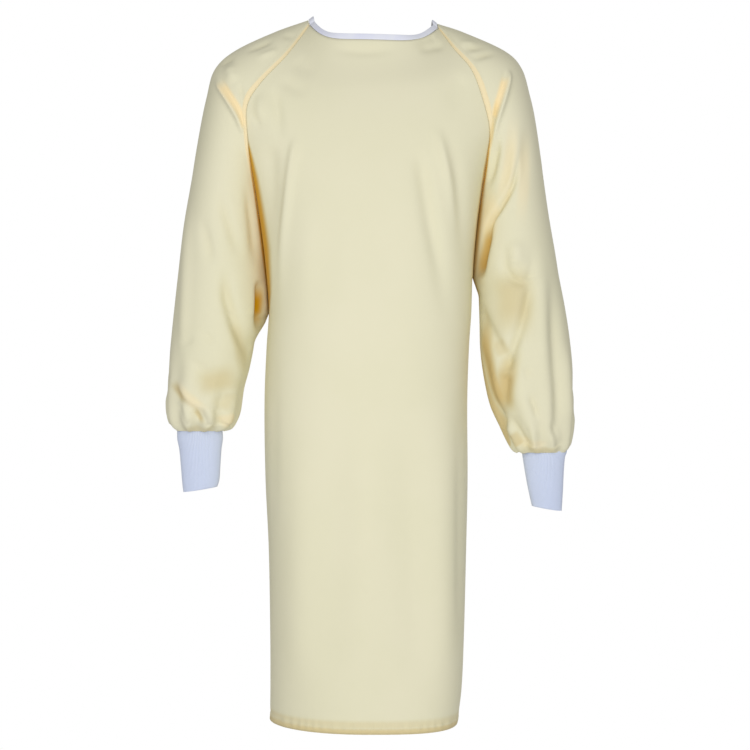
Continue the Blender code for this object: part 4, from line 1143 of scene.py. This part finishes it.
knit = knit_material("rib_knit")
for side, name in ((-1, "left"), (1, "right")):
    end_height = sleeves[side][3][-1, 0, 2]
    middle = -SLEEVES[side][-1].forward
    angle = np.linspace(0, 2 * math.pi, RIBS * RIB_STEPS + 1)
    ribs = RIB_RISE * np.cos(RIBS * angle)
    rows = []
    for down in np.linspace(CUFFS[side][0].down, CUFFS[side][-1].down, CUFF_ROWS):
        wide, deep_half, out = (smooth([ring.down for ring in CUFFS[side]],
                                       [getattr(ring, column) for ring in CUFFS[side]], down)
                                for column in ("half_wide", "half_deep", "out"))
        gone = max(down, 0) / CUFFS[side][-1].down
        x = side * out + (wide + ribs) * np.cos(angle)
        y = middle - CUFF_SWING * gone + (deep_half + ribs) * np.sin(angle)
        z = end_height - down - CUFF_SLANT[side] * np.cos(angle) * gone
        rows.append(np.stack((x, y, z), axis=1))
    grid = np.array(rows)
    groove = np.tile(0.5 - 0.5 * np.cos(RIBS * angle), (CUFF_ROWS, 1))
    cuff, flat, area = lay_cloth(f"cuff_{name}_knit", grid, knit, {"groove": groove}, 0, CUFF_THICK)
    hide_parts(f"cuff_{name}")

# %% [markdown]
# ## The neck binding
# A narrow pale tape is folded over the neck's raw edge and stitched. It stands up a little and leans toward
# the neck, so on the shoulders its shaded inner side shows. It is a flat section with round corners, led
# round the neck from one free edge of the back to the other.

# %% Bind the neck
BINDING_WIDE = 0.0102
BINDING_THICK = 0.0022
BINDING_GAP = 0.0003
BINDING_LEAN = 0.30
SHOULDER_LEAN = 1.00
BINDING_STEPS = 260
BINDING_CORNERS = 20
ROUND_CORNER = 4
LEANS_FROM = 0.45
LEANS_WITHIN = 0.5
TAPE_PALE = (0.90, 0.92, 1.0, 1)
TAPE_SHADE = (0.82, 0.84, 0.99, 1)
TAPE_YARNS = 900
TAPE_CLOUDS = 30


def tape_material(name):
    material, shader, start = new_material(name, roughness=0.7, sheen=0.2)
    place = on_object(start)
    place.noise(TAPE_CLOUDS, 2).fade(0.3, 0.7).blend(TAPE_PALE, TAPE_SHADE).into(shader.inputs["Base Color"])
    place.noise(TAPE_YARNS, 2).bump(0.3, 0.0002, shader)
    return material


def strap_grid(places, ups, wide, thick):
    """Rounded flat sections along a line. ups is the direction of the strap's width at each place."""
    along = np.gradient(places, axis=0)
    off = np.cross(along, ups)
    off /= np.linalg.norm(off, axis=1, keepdims=True)
    angle = np.linspace(0, 2 * math.pi, BINDING_CORNERS + 1)
    cosine, sine = np.cos(angle), np.sin(angle)
    a = wide / 2 * np.sign(cosine) * np.abs(cosine) ** (2 / ROUND_CORNER)
    b = thick / 2 * np.sign(sine) * np.abs(sine) ** (2 / ROUND_CORNER)
    return places[:, None] + ups[:, None] * a[None, :, None] + off[:, None] * b[None, :, None]


def lay_strap(name, grid, material, marks=None):
    """A solid strap from its rounded sections, closed at both ends."""
    piece = lay_cloth(name, grid, material, marks, 0, 0)[0]
    piece.modifiers.clear()
    mesh = bmesh.new()
    mesh.from_mesh(piece.data)
    bmesh.ops.holes_fill(mesh, edges=mesh.edges, sides=BINDING_CORNERS)
    bmesh.ops.recalc_face_normals(mesh, faces=mesh.faces)
    mesh.to_mesh(piece.data)
    mesh.free()
    return piece


edge_line = np.concatenate([
    back_grids[-1][0], sleeves[-1][3][0], front_grid[0], sleeves[1][3][0], back_grids[1][0]])
edge_line = edge_line[np.concatenate(([True], np.linalg.norm(np.diff(edge_line, axis=0), axis=1) > 1e-5))]
neck_line = evenly(edge_line, np.linspace(0, 1, BINDING_STEPS + 1))
inward = -neck_line * (1, 1, 0)
inward /= np.linalg.norm(inward, axis=1, keepdims=True)
sideways = np.abs(inward[:, :1])
ups = inward * (BINDING_LEAN + SHOULDER_LEAN * ease((sideways - LEANS_FROM) / LEANS_WITHIN)) + (0, 0, 1)
ups /= np.linalg.norm(ups, axis=1, keepdims=True)
places = neck_line + ups * (BINDING_WIDE / 2 + BINDING_GAP) + inward * BINDING_THICK / 3
tape = tape_material("binding_tape")
binding = lay_strap("neck_binding_tape", strap_grid(places, ups, BINDING_WIDE, BINDING_THICK), tape)
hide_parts("neck_binding")

# %% [markdown]
# ## The ties
# Two pairs of ties close the back. Each is a strip of the gown's cloth folded to a narrow strap, sewn down at
# its root and tied in a bow: out to a loop, back over the knot and down as a tail.

# %% Tie the back
Turn = namedtuple("Turn", "along up off width")
TIE_START = (
    Turn(0.036, 0.001, 0.0013, 90),
    Turn(0.018, 0.001, 0.0014, 90),
    Turn(0.007, 0.000, 0.0017, 90),
    Turn(0.0035, 0.000, 0.0035, 90),
    Turn(0.012, -0.001, 0.0053, 90),
)
TIES = {
    -1: TIE_START + (
        Turn(0.030, -0.005, 0.0070, 90),
        Turn(0.0405, -0.009, 0.0100, 90),
        Turn(0.032, -0.008, 0.0132, 90),
        Turn(0.014, -0.003, 0.0125, 90),
        Turn(0.006, -0.005, 0.0105, 75),
        Turn(0.007, -0.017, 0.0085, 25),
        Turn(0.010, -0.036, 0.0052, 8),
        Turn(0.013, -0.080, 0.0032, 4),
        Turn(0.015, -0.140, 0.0030, 2),
    ),
    1: TIE_START + (
        Turn(0.030, -0.004, 0.0070, 90),
        Turn(0.0405, -0.007, 0.0100, 90),
        Turn(0.032, -0.006, 0.0138, 90),
        Turn(0.014, -0.001, 0.0155, 90),
        Turn(0.000, 0.000, 0.0160, 80),
        Turn(-0.005, -0.007, 0.0148, 50),
        Turn(-0.003, -0.020, 0.0122, 22),
        Turn(0.005, -0.038, 0.0078, 10),
        Turn(0.010, -0.075, 0.0040, 4),
        Turn(0.013, -0.125, 0.0030, 2),
    ),
}
TIE_WIDE = 0.013
TIE_THICK = 0.0013
TIE_STEPS = 8
TIE_ROOT_TURNS = 3
TIE_GLOW = 0.3
BACK_LOW = 1.6
TiePlace = namedtuple("TiePlace", "name height beyond spread drop lift")
TIE_PLACES = (
    TiePlace("neck", -0.055, 0.012, 0.72, 1.0, 0.0008),
    TiePlace("waist", -0.520, 0.020, 1.0, 1.5, 0.0),
)
back_places = [body_line(1, t) for t in np.linspace(0, BACK_LOW, 120)]


def on_back(x, height):
    """The place on the back's outer side that is this far right and this high."""
    inner = slice(DENSE // 8, -DENSE // 8)
    column = np.array([[np.interp(x, line[inner, 0], line[inner, k]) for k in (1, 2)]
                       for line in back_places])
    return np.array((x, np.interp(-height, -column[:, 1], column[:, 0]), height))


for side, name in ((-1, "left"), (1, "right")):
    turns = TIES[side]
    for place in TIE_PLACES:
        knot = -read(BODY, "lap", place.height) - place.beyond
        places, ups = [], []
        for turn in np.linspace(0, len(turns) - 1, (len(turns) - 1) * TIE_STEPS + 1):
            along, up, off, width = (smooth(range(len(turns)), column, turn) for column in zip(*turns))
            x, z = knot + side * along * place.spread, place.height + up * place.drop
            across = on_back(x + TIE_WIDE / 2, z) - on_back(x - TIE_WIDE / 2, z)
            upward = on_back(x, z + TIE_WIDE / 2) - on_back(x, z - TIE_WIDE / 2)
            off = off + place.lift * min(turn / TIE_ROOT_TURNS, 1)
            outward_there = np.cross(upward, across)
            places.append(on_back(x, z) + outward_there / np.linalg.norm(outward_there) * off)
            lie = across * math.cos(math.radians(width)) + upward * math.sin(math.radians(width))
            ups.append(lie / np.linalg.norm(lie))
        places = np.array(places)
        grid = strap_grid(places, np.array(ups), TIE_WIDE, TIE_THICK)
        # The whole tie gets a faint painted warm glow.
        painted_glow = np.full(grid.shape[:2], TIE_GLOW)
        tie = lay_strap(f"{place.name}_tie_{name}_cloth", grid, cloth, {"painted_glow": painted_glow})
        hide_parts(f"{place.name}_tie_{name}")

# %% [markdown]
# ## Stitching
# A sewing machine leaves a row of short thread pieces on the cloth, each dipping into it at both ends. A
# stitch is a little ball stretched along its row, so most of it stands out and its tips are in the cloth.
# They are real because the rows show as fine lines along the hem, the back's free edges and the seams.

# %% Sew the rows
STITCH_PITCH = 0.0032
STITCH_LONG = 0.0026
STITCH_THICK = 0.00055
STITCH_SHOWS = 0.2
STITCH_AIM = 0.3
THREAD_COLOUR = (0.86, 0.80, 0.58, 1)
THREAD_SHADE = (0.74, 0.68, 0.46, 1)
THREAD_PLY = 1500
HEM_ROWS = 20
HEM_SEEN_AT = 12
SEAM_ROWS = (0.0015, 0.0085)
SEAM_SEWN = 0.72
NECK_ROWS = 8
BELOW_EDGE = 0.001


def sew(threads, line, normals):
    """Stitches along a line of points on the cloth, whose outward directions are normals."""
    mesh = bmesh.new()
    count = int(lengths_along(line)[-1] / STITCH_PITCH)
    shares = (np.arange(count) + 0.5) / count
    places = evenly(line, shares)
    ahead = evenly(line, np.minimum(shares + STITCH_AIM / count, 1))
    ahead -= evenly(line, np.maximum(shares - STITCH_AIM / count, 0))
    ways = np.linspace(0, 1, len(line))
    facing = np.stack([np.interp(shares, ways, column) for column in normals.T], axis=1)
    for place, run, out in zip(places, ahead, facing):
        turn = Vector(run).to_track_quat("X", "Z").to_matrix().to_4x4()
        size = Matrix.Diagonal((STITCH_LONG / 2, STITCH_THICK / 2, STITCH_THICK / 2, 1))
        raised = Matrix.Translation(Vector(place) + Vector(out) * STITCH_THICK * STITCH_SHOWS)
        bmesh.ops.create_icosphere(mesh, subdivisions=1, radius=1, matrix=raised @ turn @ size)
    row = bpy.data.meshes.new("row")
    mesh.to_mesh(row)
    mesh.free()
    threads.from_mesh(row)
    bpy.data.meshes.remove(row)
    return count


def row_inside(grid, rows, column_away, from_left):
    """A line down the grid's rows that stays this far inside its left or right edge."""
    along = lengths_along(grid[rows])
    away = along if from_left else along[:, -1:] - along
    order = slice(None) if from_left else slice(None, None, -1)
    found = []
    for values in (grid[rows], outward(grid)[rows]):
        found.append(np.array([[np.interp(column_away, far[order], row[order, k]) for k in range(3)]
                               for far, row in zip(away, values)]))
    return found


def hem_row(grid, above):
    """The line round a panel that stays this far above its hem."""
    columns = grid[-HEM_ROWS:].swapaxes(0, 1)
    line = np.array([[np.interp(-above, column[-1, 2] - column[:, 2], column[:, k]) for k in range(3)]
                     for column in columns])
    return line, outward(grid)[-HEM_ROWS:][HEM_SEEN_AT]


thread_mesh = bmesh.new()
stitches = 0
for grid in (front_grid, back_grids[-1], back_grids[1]):
    stitches += sew(thread_mesh, *hem_row(grid, HEM_BAND - BELOW_EDGE))
for side in (-1, 1):
    grid = sleeves[side][3]
    last = int(SLEEVE_SHAPE[1] * SEAM_SEWN)
    for away in SEAM_ROWS:
        for from_left in (True, False):
            stitches += sew(thread_mesh, *row_inside(grid, slice(NECK_ROWS, last), away, from_left))
    free = row_inside(back_grids[side], slice(NECK_ROWS - 2, None), FREE_HEM - BELOW_EDGE, side < 0)
    stitches += sew(thread_mesh, *free)
thread_data = bpy.data.meshes.new("seam_stitches")
thread_mesh.to_mesh(thread_data)
thread_mesh.free()
thread_data.shade_smooth()
thread, thread_shader, start = new_material("sewing_thread", roughness=0.6, sheen=0.2)
ply = on_object(start).noise(THREAD_PLY, 1)
ply.fade(0.3, 0.7).blend(THREAD_COLOUR, THREAD_SHADE).into(thread_shader.inputs["Base Color"])
thread_data.materials.append(thread)
seam_stitches = add_object("seam_stitches", thread_data)
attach(seam_stitches, "root")
print("stitches", stitches)

# %% [markdown]
# ## The floor
# A disc with a rounded rim is enough floor for a gown: a cylinder whose edges are bevelled.

# %% Lay the floor
floor_mesh = bmesh.new()
bmesh.ops.create_cone(floor_mesh, cap_ends=True, segments=128, radius1=FLOOR_RADIUS, radius2=FLOOR_RADIUS,
                      depth=FLOOR_THICK)
bmesh.ops.bevel(floor_mesh, geom=floor_mesh.edges, offset=FLOOR_RIM, affect="EDGES", segments=3, profile=0.5,
                material=-1)
bmesh.ops.translate(floor_mesh, verts=floor_mesh.verts, vec=(0, 0, FLOOR_HEIGHT - FLOOR_THICK / 2))
floor_data = bpy.data.meshes.new("floor")
floor_mesh.to_mesh(floor_data)
floor_mesh.free()
floor_material, floor_shader, _ = new_material("floor", roughness=0.9, sheen=0)
floor_shader.inputs["Base Color"].default_value = (0.86, 0.86, 0.85, 1)
floor_data.materials.append(floor_material)
floor = add_object("floor", floor_data)
